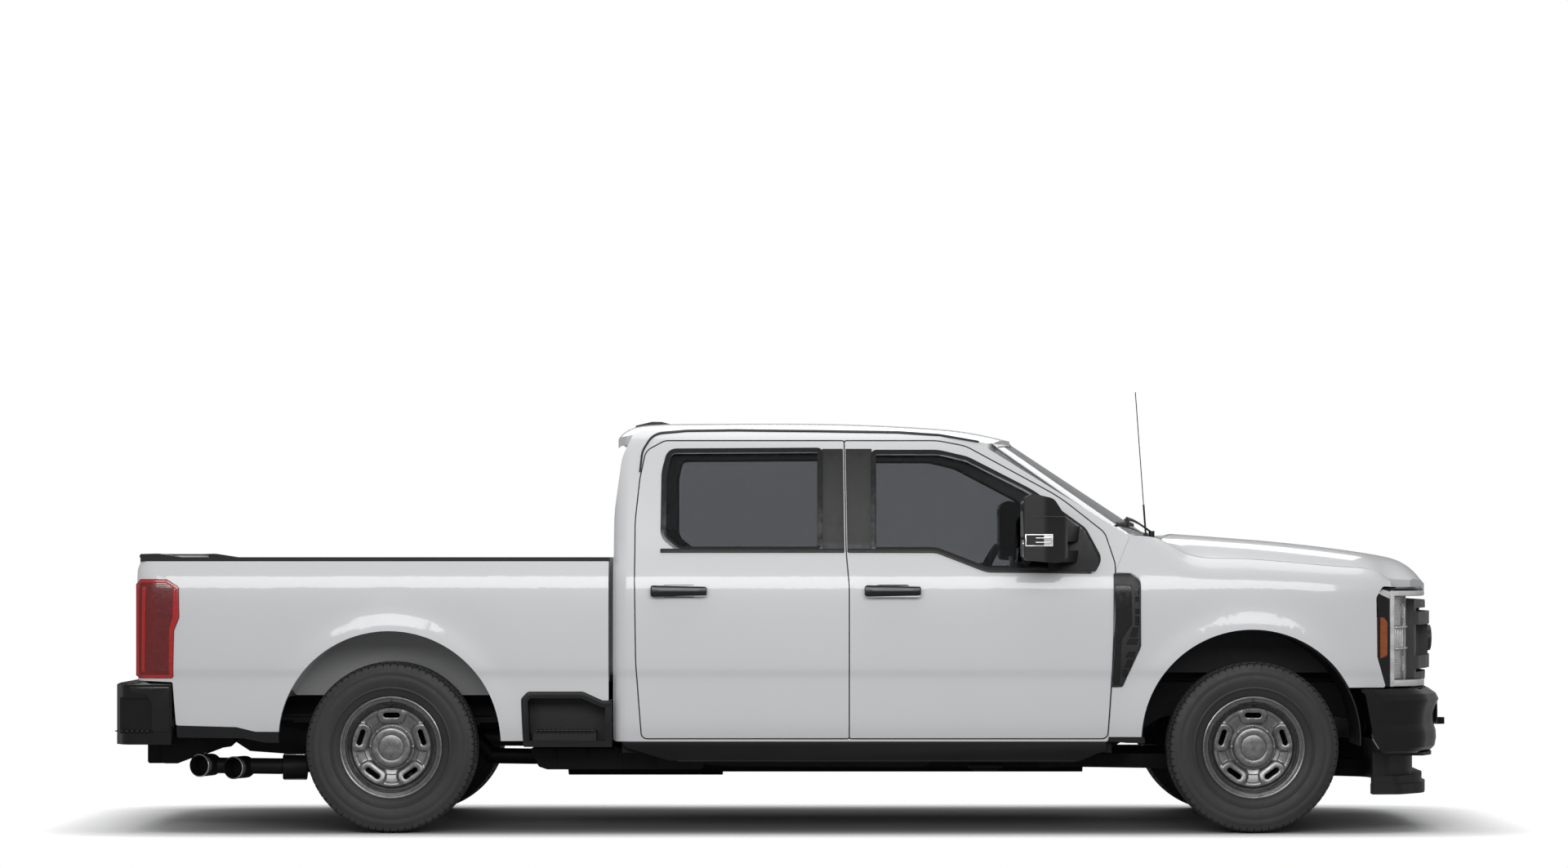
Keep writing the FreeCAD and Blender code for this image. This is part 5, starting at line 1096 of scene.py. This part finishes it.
def makeFrontBumper():
    pad = thicken(netOf("bumperTopPad", 40, 2, lambda u, v: (
        bumperFace(-0.86 + 1.72 * u) - 0.104 + 0.046 * v, -0.86 + 1.72 * u, 0.6820)), 0.004, 0.0015)
    dress(pad, blackTrim)
    for side, tag in ((-1, "right"), (1, "left")):
        lampRing = turned("fogRing_" + tag, [(0.050, 0.0), (0.058, 0.0), (0.060, 0.006),
                                             (0.054, 0.010), (0.047, 0.004), (0.046, -0.010), (0.050, 0.0)],
                          48)
        lampGlass = turned("fogLens_" + tag, [(0.0, 0.003), (0.030, 0.001), (0.046, -0.004), (0.046, -0.010),
                                              (0.0, -0.010), (0.0, 0.003)], 48)
        y = side * 0.640
        spot, swing = (bumperFace(y) - 0.012, y, 0.560), -math.pi / 2 + side * 0.10
        dress(setOn(lampRing, spot, swing), glossTrim)
        dress(setOn(lampGlass, spot, swing), whiteLens)
    levels = [0.459 + row * 0.013 for row in range(5)]
    mesh = wireNet("bumperMesh", bumperFace, 0.33, 8, levels, 10, 0.032, 0.453, 0.519, 0.0028)
    dress(mesh, blackTrim)


makeFrontBumper()


print("tail lamps and rear end")
tail = {
    "outline": [(-3.041, 1.195, 0.010), (-3.061, 1.174, 0.010), (-3.061, 0.740, 0.010),
                (-3.043, 0.730, 0.008), (-2.886, 0.730, 0.010), (-2.880, 0.954, 0.030),
                (-2.856, 1.014, 0.030), (-2.859, 1.159, 0.014), (-2.916, 1.195, 0.014)],
    "inner": 0.866, "outer": 0.948, "back": -3.0595,
}


def tailBlock(name, low, high, bevelWidth):  # a pad on the rear face of the lamp
    return blockAt(name, (tail["back"] - 0.006, -tail["outer"], low),
                   (tail["back"] + 0.002, -tail["inner"] - 0.018, high), bevelWidth)


def makeTailLamp():
    rim = ribbon("tailRim", tail["outline"], 0.014, onSide(bedSide, 0.0048), 0.004,
                 bevelWidth=0.0012, shift=-0.009, spacing=0.02)
    streak = [plateOn("tailStreak", [(-3.034, 0.758, 0.004), (-3.018, 0.758, 0.004), (-3.014, 1.160, 0.004),
                                     (-3.030, 1.160, 0.004)], onSide(bedSide, 0.0046), 0.0022, 0.03, 0.0006),
              plateOn("tailStreak", [(-2.905, 0.750, 0.003), (-2.896, 0.750, 0.003), (-2.888, 0.952, 0.02),
                                     (-2.868, 1.014, 0.02), (-2.872, 1.150, 0.004), (-2.884, 1.156, 0.004),
                                     (-2.886, 1.018, 0.02), (-2.902, 0.960, 0.02)],
                      onSide(bedSide, 0.0046), 0.0022, 0.03, 0.0006)]
    inner = tail["inner"]
    backRim = [(inner + 0.004, 0.740, 0.006), (0.962, 0.740, 0.010), (0.962, 1.176, 0.010),
               (inner + 0.004, 1.176, 0.006)]
    rearRim = ribbon("tailBackRim", backRim, 0.012, lambda y, z: (tail["back"] - 0.0035, -y, z), 0.004,
                     bevelWidth=0.0012, shift=-0.006)
    bands = [tailBlock("tailBand", low, high, 0.002) for low, high in ((1.060, 1.160), (0.760, 0.860))]
    dressBoth(joinAll([rim] + streak + [rearRim] + bands, "tailRim"), redRim)
    lines = []
    for row in range(44):
        z = 0.748 + row * 0.0098
        ahead = -2.907 if z < 0.955 else -2.884
        lines.append(plateOn("tailLine", [(-3.012, z - 0.0016), (ahead, z - 0.0016), (ahead, z + 0.0016),
                                          (-3.012, z + 0.0016)], onSide(bedSide, 0.0042), 0.0016, 0.07, 0))
    dressBoth(joinAll(lines, "tailLines"), redLens)
    dressBoth(tailBlock("reverseLamp", 0.900, 1.020, 0.003), whiteLens)


makeTailLamp()


def makeTailgateParts():
    face = -3.062
    bezel = roundedPlate("gateBezel", [(-0.178, 1.142), (0.178, 1.142), (0.158, 1.228), (-0.158, 1.228)],
                         lambda y, z: (face - 0.003, y, z), (0.008, 0, 0), 0.0015, radius=0.022)
    hollow = roundedPlate("gateCut", [(-0.160, 1.153), (0.160, 1.153), (0.142, 1.217), (-0.142, 1.217)],
                          lambda y, z: (face - 0.02, y, z), (0.05, 0, 0), 0, radius=0.018)
    bezel = cutWith(bezel, hollow)
    lever = blockAt("gateLever", (face + 0.0035, -0.122, 1.184), (face + 0.016, 0.122, 1.214), 0.004)
    dress(joinAll([bezel, lever], "gateHandle"), glossTrim, "tailgate")
    lockProfile = [(0.0, -0.002), (0.009, -0.002), (0.011, 0.0), (0.011, 0.006), (0.0, 0.006), (0.0, -0.002)]
    lock = setOn(turned("gateLock", lockProfile, 32), (face - 0.001, 0.205, 1.185), math.pi / 2)
    dress(lock, chrome, "tailgate")
    cap = blockAt("gateCap", (face + 0.010, -0.835, 1.306), (face + 0.068, 0.835, 1.3145), 0.003)
    dress(cap, blackTrim, "tailgate")
    panel = ribbon("gatePanel", boxLine(-0.760, 0.760, 0.840, 1.090, 0.05), 0.010,
                   lambda y, z: (face - 0.0002, y, z), 0.004, bevelWidth=0.0015)
    dress(panel, paint, "tailgate")
    ribs = [blockAt("gateRib", (face + 0.0675, index * 0.115 - 0.022, 0.830),
                    (face + 0.0715, index * 0.115 + 0.022, 1.250), 0.003) for index in range(-6, 7)]
    # the ribs take the darker inner paint, painted shade
    dress(joinAll(ribs, "gateRibs"), shadedInnerPaint, "tailgate")


makeTailgateParts()


def makeRearBumper():
    back = -3.175
    pads = []
    for side in (-1, 1):
        low, high = sorted((side * 0.330, side * 0.900))
        pads.append(blockAt("stepPad", (back + 0.016, low, 0.6995), (back + 0.090, high, 0.7045), 0.0022))
        for row in range(12):
            y = side * (0.36 + row * 0.046)
            pads.append(blockAt("stepRib", (back + 0.022, y - 0.006, 0.704),
                                (back + 0.084, y + 0.006, 0.7075), 0.0015))
    dress(joinAll(pads, "rearStepPads"), blackTrim)
    plate = blockAt("plateBlank", (back + 0.0740, -0.152, 0.586), (back + 0.0765, 0.152, 0.690), 0.0008)
    dress(plate, whiteLens)
    lamps = [blockAt("plateLamp", (back + 0.052, y - 0.008, 0.640), (back + 0.078, y + 0.008, 0.668), 0.003)
             for y in (-0.164, 0.164)]
    dress(joinAll(lamps, "plateLamps"), whiteLens)
    outline = [
        (-2.985, 0.482, 0.008), (-2.985, 0.610, 0.030), (-3.010, 0.652, 0.030), (-3.090, 0.664, 0.010),
        (-3.090, 0.690, 0.006), (-2.903, 0.690, 0.010), (-2.903, 0.482, 0.010)]
    panel = roundedPlate("cornerPanel", outline, sideSpot(-0.9995), (0, 0.006, 0), 0.002)
    treads = [blockAt("cornerTread", (-3.160 + row * 0.024, -0.985, 0.4795),
                      (-3.148 + row * 0.024, -0.945, 0.4845), 0.0015, 2) for row in range(7)]
    dressBoth(joinAll([panel] + treads, "cornerPanel"), glossTrim)


makeRearBumper()


def makeExhaustTips():  # the rims of the twin tips
    profile = [(0.0530, 0.0), (0.0545, 0.002), (0.0545, 0.014), (0.0530, 0.018), (0.0530, 0.10),
               (0.0500, 0.10), (0.0490, 0.004), (0.0510, 0.0), (0.0530, 0.0)]
    turn = Vector((0.050, 0.105, 0.0)).normalized().to_track_quat("Y", "Z").to_matrix().to_4x4()
    pieces = []
    for x, z in ((-2.803, 0.307), (-2.642, 0.296)):
        shape = turned("tip", profile, 64)
        shape.data.transform(Matrix.Translation((x, -0.7325, z)) @ turn)
        pieces.append(shape)
    dress(joinAll(pieces, "exhaustTips"), exhaustSteel)


makeExhaustTips()


print("side pieces")
sill = {"back": -0.790, "front": 1.500, "top": 0.4290, "low": 0.335, "outer": 0.9475}


def makeSill():
    # the dark rocker under the doors, with its slanted ends and its brackets; its black band is partly a real
    # rocker moulding and partly painted shade for the deep shadow under the body
    outline = [(sill["back"], sill["top"]), (sill["back"] + 0.030, sill["top"] - 0.028),
               (-0.560, sill["low"] + 0.006), (-0.400, sill["low"]), (1.365, sill["low"]), (1.452, 0.372),
               (sill["front"], 0.384), (sill["front"], sill["top"])]
    band = roundedPlate("rocker", outline, sideSpot(-sill["outer"]), (0, 0.016, 0), 0.005, 3, 0.012)
    lip = tubeAlong("rockerLip", [(-0.520, -0.9415, 0.3395), (1.350, -0.9415, 0.3395)], 0.0070)
    clamps = [blockAt("rockerClamp", (-0.420 + index * 0.330, -0.9400, 0.345),
                      (-0.360 + index * 0.330, -0.800, 0.420), 0.006, 2) for index in range(6)]
    skirt = blockAt("rockerFloor", (-0.700, -0.940, 0.405), (1.470, -0.62, 0.418), 0.004, 2)
    dressBoth(joinAll([band, lip, skirt] + clamps, "rocker"), chassisBlack)


makeSill()


def makeBedStep():
    # the rim and the tread of the step well behind the cab
    rim = [(-1.245, 0.440, 0.010), (-1.253, 0.630, 0.020), (-1.222, 0.664, 0.020), (-0.960, 0.664, 0.020),
           (-0.872, 0.624, 0.012), (-0.832, 0.622, 0.008)]
    band = ribbon("stepRim", rim, 0.018, onSide(bedSide, 0.0045), 0.005, closed=False,
                  bevelWidth=0.0018, shift=0.012)
    teeth = []
    for index in range(14):
        x = -1.186 + index * 0.0205
        teeth.append(blockAt("stepTooth", (x, -0.972, 0.4800), (x + 0.012, -0.862, 0.4865), 0.0018, 2))
    for row in range(3):
        y = -0.952 + row * 0.036
        teeth.append(blockAt("stepRail", (-1.192, y, 0.4795), (-0.906, y + 0.010, 0.4855), 0.0018, 2))
    dressBoth(joinAll([band] + teeth, "bedStepRim"), blackTrim)


makeBedStep()


def makeMirrorGlass():
    # the two panes of the tow mirror, on the side that faces the rear
    outlines = [[(1.105, 1.392, 0.020), (1.318, 1.392, 0.020), (1.322, 1.556, 0.026), (1.100, 1.562, 0.026)],
                [(1.105, 1.300, 0.020), (1.314, 1.300, 0.020), (1.317, 1.378, 0.020), (1.105, 1.378, 0.020)]]
    panes = [roundedPlate("mirrorPane", outline, lambda y, z: (1.087, -y, z), (0.006, 0, 0), 0.0015)
             for outline in outlines]
    dressBoth(joinAll(panes, "mirrorGlass"), chrome, "door_front_SIDE")
    seam = ribbon("mirrorSeam", [(1.090, 1.4862), (1.300, 1.4862)], 0.004, sideSpot(-1.3462),
                  0.0024, closed=False)
    dressBoth(seam, pillarBlack, "door_front_SIDE")


makeMirrorGlass()


def makeCowlSlots():
    slots = []
    for side in (-1, 1):
        for index in range(16):
            y = side * (0.100 + index * 0.042)
            x = 1.735 - 0.045 * (abs(y) / 0.8) ** 2
            z = 1.392 - 0.06 * (x - 1.609) - 0.014 * (y / 0.8) ** 2
            slots.append(blockAt("cowlSlot", (x - 0.030, y - 0.012, z - 0.002),
                                 (x + 0.030, y + 0.012, z + 0.0022), 0.0012, 2))
    dress(joinAll(slots, "cowlSlots"), glossTrim)


makeCowlSlots()


print("cabin")
seatPlaces = {"front": (0.621, 0.400, 0.560), "rear": (-0.239, 0.400, 0.720)}  # x, y and width


def padFrom(name, sections, width, middleY, cap):
    # sections are (x, z, thickness, lean) from one end to the other; the pad is their loft, filled out by
    # cloth, and no point moves further than cap
    bpy.ops.mesh.primitive_cube_add(size=1, location=(0, 0, 0))
    pad = newPiece(name)
    editAll()
    bpy.ops.mesh.subdivide(number_cuts=11)
    bpy.ops.object.mode_set(mode="OBJECT")
    last = len(sections) - 1
    for vertex in pad.data.vertices:
        along = (vertex.co.x + 0.5) * last
        index = min(int(along), last - 1)
        t = along - index
        x, z, thick, lean = (a + (b - a) * t for a, b in zip(sections[index], sections[index + 1]))
        across = vertex.co.y * 2
        edge = abs(across)
        bolster = 0.016 * ease((edge - 0.58) / 0.25) * (vertex.co.z > 0)
        corner = 1 - 0.10 * max(edge - 0.6, 0) * (2 * abs(vertex.co.x)) ** 3
        rise = vertex.co.z * thick * (1 - 0.18 * edge ** 8) + bolster
        vertex.co = (x + math.sin(lean) * rise, middleY + across * width / 2 * corner,
                     z + math.cos(lean) * rise)
    withModifier(pad, "REMESH", mode="VOXEL", voxel_size=0.014)
    start = [vertex.co.copy() for vertex in pad.data.vertices]
    makeActive(pad)
    cloth = pad.modifiers.new("Cloth", "CLOTH")
    cloth.settings.use_pressure = True
    cloth.settings.uniform_pressure_force = 4
    cloth.settings.effector_weights.gravity = 0
    frames = 20
    cloth.point_cache.frame_start = 1
    cloth.point_cache.frame_end = frames
    for step in range(1, frames + 1):
        bpy.context.scene.frame_set(step)
    bpy.ops.object.modifier_apply(modifier=cloth.name)
    bpy.context.scene.frame_set(1)
    for vertex, before in zip(pad.data.vertices, start):
        move = vertex.co - before
        if move.length > cap:
            vertex.co = before + move.normalized() * cap
    withModifier(pad, "SUBSURF", levels=1)
    return smooth(pad, 180)


def seatPads(row, x, y, width):
    cushion = padFrom(row + "Cushion", [(x - 0.228, 0.843, 0.100, 0), (x - 0.10, 0.850, 0.104, 0),
                                        (x + 0.10, 0.858, 0.104, 0), (x + 0.262, 0.862, 0.098, 0)],
                      width - 0.024, y, 0.008)
    turn = math.pi / 2 - math.atan2(0.175, 0.600)
    back = padFrom(row + "Back", [(x - 0.236, 0.850, 0.118, turn), (x - 0.285, 1.010, 0.122, turn),
                                  (x - 0.345, 1.220, 0.110, turn), (x - 0.388, 1.430, 0.092, turn)],
                   width - 0.044, y, 0.008)
    head = padFrom(row + "Head", [(x - 0.420, 1.500, 0.082, turn), (x - 0.424, 1.550, 0.086, turn),
                                  (x - 0.430, 1.606, 0.072, turn)], 0.262, y, 0.006)
    return [cushion, back, head]


def makeSeats():
    for row, (x, y, width) in seatPlaces.items():
        pads = seatPads(row, x, y, width)
        half = width / 2
        # piping along the middle panel of the cushion
        seams = [tubeAlong("seam", [(x - 0.190, across, 0.9055), (x + 0.05, across, 0.9140),
                                    (x + 0.235, across, 0.9120)],
                           0.0030, smoothLine=True) for across in (y - half * 0.60, y + half * 0.60)]
        posts = [tubeAlong("post", [(x - 0.400, across, 1.440), (x - 0.415, across, 1.500)], 0.0078)
                 for across in (y - 0.060, y + 0.060)]
        base = blockAt("seatBase", (x - 0.215, y - half + 0.085, 0.583),
                       (x + 0.225, y + half - 0.065, 0.800), 0.012)
        shell = blockAt("seatSkirt", (x - 0.205, y - half + 0.040, 0.760),
                        (x + 0.215, y + half - 0.040, 0.800), 0.010)
        # the seats are made on the left, so each piece goes over to the right first
        for parts, name, material in (([base, shell], "SeatBase", cabinPlastic), (posts, "SeatPosts", chrome),
                                      (seams, "SeatSeams", blackTrim)):
            dressBoth(mirrorMesh(joinAll(parts, row + name)), material)
        for pad in pads:
            for piece in dressBoth(mirrorMesh(pad), seatCloth, covers=["seats"]):
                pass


makeSeats()


dash = {"wheel": (0.9563, 0.400, 1.190), "tilt": math.radians(28), "rim": 0.180, "rimHalf": 0.0172}


def makeDashParts():
    column = Vector((math.cos(dash["tilt"]), 0, -math.sin(dash["tilt"])))
    toPlace = Matrix.Translation(dash["wheel"]) @ column.to_track_quat("Y", "Z").to_matrix().to_4x4()
    turns = [math.tau * step / 20 for step in range(21)]
    ring = turned("wheelRing", [(dash["rim"] + dash["rimHalf"] * math.cos(turn),
                                 dash["rimHalf"] * math.sin(turn))
                                for turn in turns], 96)
    cover = turned("wheelCover", [(0.0, -0.046), (0.050, -0.043), (0.072, -0.034),
                                  (0.078, -0.018), (0.070, 0.004), (0.064, 0.024), (0.0, 0.026),
                                  (0.0, -0.046)], 64)
    for piece in (ring, cover):
        piece.data.transform(toPlace)
    dress(ring, blackTrim)
    dress(cover, cabinPlastic)
    hood = blockAt("clusterHood", (1.150, 0.235, 1.262), (1.310, 0.565, 1.356), 0.030, 4)
    console = blockAt("console", (0.400, -0.104, 0.586), (1.060, 0.104, 0.860), 0.030, 4)
    lid = blockAt("consoleLid", (0.405, -0.100, 0.862), (0.720, 0.100, 0.890), 0.014, 3)
    vents = []
    for y in (-0.640, -0.235, 0.235, 0.640):
        vents.append(blockAt("vent", (1.100, y - 0.068, 1.176), (1.140, y + 0.068, 1.256), 0.008, 3))
        vents += [blockAt("ventSlat", (1.094, y - 0.060, z), (1.104, y + 0.060, z + 0.004), 0.0012, 2)
                  for z in (1.188, 1.204, 1.220, 1.236)]
    lower = blockAt("dashLower", (1.128, -0.700, 1.010), (1.160, 0.700, 1.120), 0.014, 3)
    dress(joinAll([hood, console, lid, lower] + vents, "dashDetail"), cabinPlastic)
    screens = [blockAt("screen", (1.144, 0.262, 1.278), (1.152, 0.538, 1.340), 0.003, 2),
               blockAt("screen", (1.092, -0.150, 1.160), (1.106, 0.150, 1.304), 0.004, 2)]
    dress(joinAll(screens, "dashScreens"), glossTrim)


makeDashParts()


def makeDoorCards():
    cards = {
        "front": [(0.352, 0.540, 0.040), (1.440, 0.540, 0.040), (1.440, 1.140, 0.040), (1.390, 1.212, 0.020),
                  (0.352, 1.212, 0.020)],
        "rear": [(-0.690, 0.540, 0.040), (0.215, 0.540, 0.040), (0.215, 1.212, 0.020),
                 (-0.690, 1.212, 0.020)],
    }
    for row, outline in cards.items():
        card = plateOn(row + "Card", outline, onSide(cabSide, -0.1030), 0.0050, 0.06, 0.0015)
        ahead = max(point[0] for point in outline)
        rest = blockAt(row + "Rest", (ahead - 0.760, -0.8960, 0.920),
                       (ahead - 0.180, -0.838, 0.985), 0.018, 4)
        pull = blockAt(row + "Pull", (ahead - 0.260, -0.8990, 1.060),
                       (ahead - 0.120, -0.880, 1.092), 0.007, 3)
        pocket = blockAt(row + "Pocket", (ahead - 0.740, -0.8980, 0.580),
                         (ahead - 0.240, -0.862, 0.700), 0.020, 3)
        speaker = turned(row + "Speaker", [(0.0, 0.0), (0.078, 0.0), (0.082, 0.004),
                                           (0.078, 0.010), (0.0, 0.012), (0.0, 0.0)], 48)
        speaker.data.transform(Matrix.Translation((ahead - 0.130, -0.9005, 0.660)))
        dressBoth(joinAll([card, rest, pull, pocket, speaker], row + "DoorCard"), cabinPlastic,
                  "door_" + row + "_SIDE")


makeDoorCards()


def makeLining():
    mats = [blockAt("carpet", (-0.740, -0.790, 0.5805), (1.490, -0.196, 0.590), 0.004, 2),
            blockAt("carpet", (-0.740, 0.196, 0.5805), (1.490, 0.790, 0.590), 0.004, 2),
            blockAt("carpet", (-0.740, -0.190, 0.5805), (0.770, 0.190, 0.590), 0.004, 2),
            blockAt("carpet", (0.766, -0.198, 0.5805), (1.490, 0.198, 0.732), 0.010, 3)]
    dress(joinAll(mats, "carpet"), carpet)

    def linerSpot(u, v):
        x, y = -0.690 + u * 1.700, -0.660 + v * 1.320
        return (x, y, roofHeight(x, y) - 0.048)

    # the headliner takes the darker inner paint, painted shade
    dress(thicken(netOf("headliner", 18, 12, linerSpot), 0.005), shadedInnerPaint)
    inside = onBack(-0.0650)
    wall = netOf("backTrim", 14, 8, lambda u, v: inside(-0.780 + 1.560 * u, 0.600 + 0.610 * v))
    dress(thicken(wall, 0.004), cabinPlastic)


makeLining()


print("underbody")
railSide = 0.4425


def makeUnderbody():
    # shields and brackets in the dark between the axles: an outline, its outer and its inner place
    forms = [
        ("tankShield", [(-1.235, 0.392), (-1.190, 0.300), (-1.150, 0.286), (-0.420, 0.286), (-0.400, 0.300),
                        (-0.400, 0.392)], 0.700, 0.450),
        ("sideShield", [(-0.420, 0.380), (-0.420, 0.306), (-0.300, 0.296), (0.640, 0.292), (0.675, 0.306),
                        (0.675, 0.380)], 0.620, 0.450),
        ("gearShield", [(0.300, 0.400), (0.340, 0.300), (0.520, 0.286), (0.850, 0.286), (0.900, 0.400)],
         -0.220, -0.100),
        ("armShield", [(1.120, 0.452), (1.075, 0.420), (1.090, 0.372), (1.180, 0.330),
                       (1.240, 0.324), (1.330, 0.345), (1.330, 0.452)], 0.640, 0.560),
    ]
    pieces = []
    for name, outline, outer, inner in forms:
        pieces.append(roundedPlate(name, outline, sideSpot(-outer), (0, outer - inner, 0),
                                   0.006, radius=0.018))
    for index in range(5):
        x = -1.120 + index * 0.155
        pieces.append(blockAt("shieldRib", (x, -0.7035, 0.296), (x + 0.020, -0.695, 0.380), 0.002, 2))
    # aprons beside the frame rails and the plates of the hitch
    aprons = [
        [(1.800, 0.700), (1.800, 0.775), (2.800, 0.775), (2.800, 0.700)],
        [(2.580, 0.540), (2.600, 0.430), (2.760, 0.422), (2.780, 0.510)],
        [(-2.720, 0.545), (-2.720, 0.440), (-2.600, 0.362), (-2.300, 0.340), (-2.200, 0.340),
         (-2.200, 0.545)],
        [(-3.020, 0.440), (-3.020, 0.302), (-2.950, 0.302), (-2.870, 0.332), (-2.800, 0.368), (-2.690, 0.384),
         (-2.630, 0.440)],
    ]
    for outline in aprons:
        pieces.append(roundedPlate("apron", outline, sideSpot(-railSide - 0.0095), (0, 0.009, 0),
                                   0.002, radius=0.012))
    pieces += [blockAt("stepBracket", (0.862, -0.700, 0.290), (1.020, -0.560, 0.316), 0.006, 2),
               blockAt("stepBracket", (0.885, -0.690, 0.276), (1.000, -0.600, 0.292), 0.006, 2)]
    dressBoth(joinAll(pieces, "underShields"), chassisBlack)


makeUnderbody()


def makeExhaustBars():
    # the bright ribbed joint of the exhaust in front of the tips, its ribs along the pipe
    low, high, middleY, middleZ, radius, count = -2.414, -2.305, -0.620, 0.2955, 0.057, 12
    bars = []
    for index in range(count):
        turn = math.tau * index / count
        y, z = middleY + radius * math.cos(turn), middleZ + radius * math.sin(turn)
        bars.append(tubeAlong("exhaustBar", [(low, y, z), (high, y, z)], 0.0058))
    for x in (low, high - 0.008):
        ring = turned("exhaustRing", [(radius - 0.008, 0.0), (radius + 0.004, 0.0), (radius + 0.004, 0.008),
                                      (radius - 0.008, 0.008), (radius - 0.008, 0.0)], 64)
        bars.append(setOn(ring, (x, middleY, middleZ), -math.pi / 2))
    dress(joinAll(bars, "exhaustBars"), exhaustSteel)


makeExhaustBars()


def makeBrakeLines():  # along the rear axle
    lines = [tubeAlong("brakeLine", [(-1.800, side * 0.18, 0.492), (-1.806, side * 0.40, 0.488),
                                     (-1.812, side * 0.62, 0.486), (-1.812, side * 0.70, 0.478)], 0.004,
                       smoothLine=True)
             for side in (-1, 1)]
    dress(joinAll(lines, "brakeLines"), chassisBlack)


makeBrakeLines()


# finishes of the pieces that come from the frame
# cab_floor, with its sill, takes the chassis black: partly painted shade for the dark band under the doors
darkNodes = {"cab_floor": chassisBlack, "exhaust": chassisBlack}
for node in nodes.values():
    if not node.data.materials:
        continue
    slotMaterial = darkNodes.get(node.name) or slotMaterials[node.data.materials[0].name.split(".")[0]]
    node.data.materials.clear()
    node.data.materials.append(slotMaterial)


def mathNode(material, operation, first, second=None):  # second is a value or another node's output
    node = addNode(material, "ShaderNodeMath", operation=operation)
    link(material, first, node.inputs[0])
    if isinstance(second, bpy.types.NodeSocket):
        link(material, second, node.inputs[1])
    elif second is not None:
        node.inputs[1].default_value = second
    return node.outputs["Value"]


def mixShaders(material, share, one, other):  # to the output of the material or the world
    mix = addNode(material, "ShaderNodeMixShader")
    for source, socket in zip((share, one, other), mix.inputs):
        link(material, source, socket)
    output = next(node for node in material.node_tree.nodes if node.name.endswith("Output"))
    link(material, mix.outputs["Shader"], output.inputs["Surface"])


def makeFloor():
    # the floor's colour is darkened under the truck, a painted shadow, and the floor fades into the white
    # background away from it
    bpy.ops.mesh.primitive_plane_add(size=120, location=(0, 0, 0))
    floor = newPiece("studioFloor")
    material, shader = newMaterial("studioFloor")
    shader.inputs["Roughness"].default_value = 0.9
    split = addNode(material, "ShaderNodeSeparateXYZ")
    link(material, objectCoordinates(material), split.inputs["Vector"])
    powers = []
    for axisName, half, power in (("X", 3.55, 10), ("Y", 1.3, 6)):
        share = mathNode(material, "DIVIDE", split.outputs[axisName], half)
        powers.append(mathNode(material, "POWER", mathNode(material, "ABSOLUTE", share), power))
    far = mathNode(material, "ADD", *powers)
    fade = ramp(material, far, [(0.2, grey(0)), (1.0, grey(1))])
    grain = ramp(material, noise(material, 3, 3), [(0.3, grey(0.95)), (0.7, grey(1.0))])
    # painted shadow: the floor's colour goes from dark grey in the middle of the truck's footprint to pale
    # grey at its edge
    paintedShadow = ramp(material, far, [(0.0, grey(0.16)), (0.05, grey(0.30)), (0.3, grey(0.84))])
    both = addNode(material, "ShaderNodeMixRGB", blend_type="MULTIPLY", Fac=1.0)
    link(material, paintedShadow, both.inputs["Color1"])
    link(material, grain, both.inputs["Color2"])
    link(material, both.outputs["Color"], shader.inputs["Base Color"])
    clear = addNode(material, "ShaderNodeBsdfTransparent")
    mixShaders(material, fade, shader.outputs["BSDF"], clear.outputs["BSDF"])
    floor.data.materials.append(material)


def makeWorld():  # soft light from above, and plain white where the camera sees it
    world = bpy.data.worlds.new("studio")
    bpy.context.scene.world = world
    world.use_nodes = True
    split = addNode(world, "ShaderNodeSeparateXYZ")
    link(world, addNode(world, "ShaderNodeTexCoord").outputs["Generated"], split.inputs["Vector"])
    tone = ramp(world, split.outputs["Z"], [(0.0, (0.60, 0.60, 0.61, 1)), (0.5, (0.85, 0.86, 0.88, 1))])
    light = world.node_tree.nodes["Background"]
    light.inputs["Strength"].default_value = 0.5
    link(world, tone, light.inputs["Color"])
    white = addNode(world, "ShaderNodeBackground", Color=(1, 1, 1, 1), Strength=1.0)
    ray = addNode(world, "ShaderNodeLightPath")
    seen = mathNode(world, "MAXIMUM", ray.outputs["Is Camera Ray"], ray.outputs["Is Transmission Ray"])
    mixShaders(world, seen, light.outputs["Background"], white.outputs["Background"])


def addToScene(name, data, spot, turn):
    thing = bpy.data.objects.new(name, data)
    bpy.context.scene.collection.objects.link(thing)
    thing.location = spot
    thing.rotation_euler = turn
    return thing


def addLight(name, spot, target, size, power):
    light = bpy.data.lights.new(name, "AREA")
    light.shape = "RECTANGLE"
    light.size, light.size_y = size
    light.energy = power
    addToScene(name, light, spot, (Vector(target) - Vector(spot)).to_track_quat("-Z", "Y").to_euler())


def addCamera():  # where the photo was taken from
    lens = bpy.data.cameras.new("photoCamera")
    lens.sensor_width = 36
    lens.lens = 92.9
    lens.shift_x, lens.shift_y = -0.0198, 0.0773
    lens.clip_end = 200
    bpy.context.scene.camera = addToScene("photoCamera", lens, (0.128, -19.99, 1.308),
                                          (math.radians(90), 0, 0))
    bpy.context.scene.view_settings.view_transform = "Standard"


print("stage, light and camera")
makeFloor()
makeWorld()
addLight("topLight", (0, 0, 7), (0, 0, 0), (9, 5), 230)
addLight("sideLight", (0, -8.5, 3.7), (0, 0, 0.9), (9, 2.4), 340)
addLight("farLight", (0, 8, 5), (0, 0, 1), (9, 2.5), 120)
addCamera()
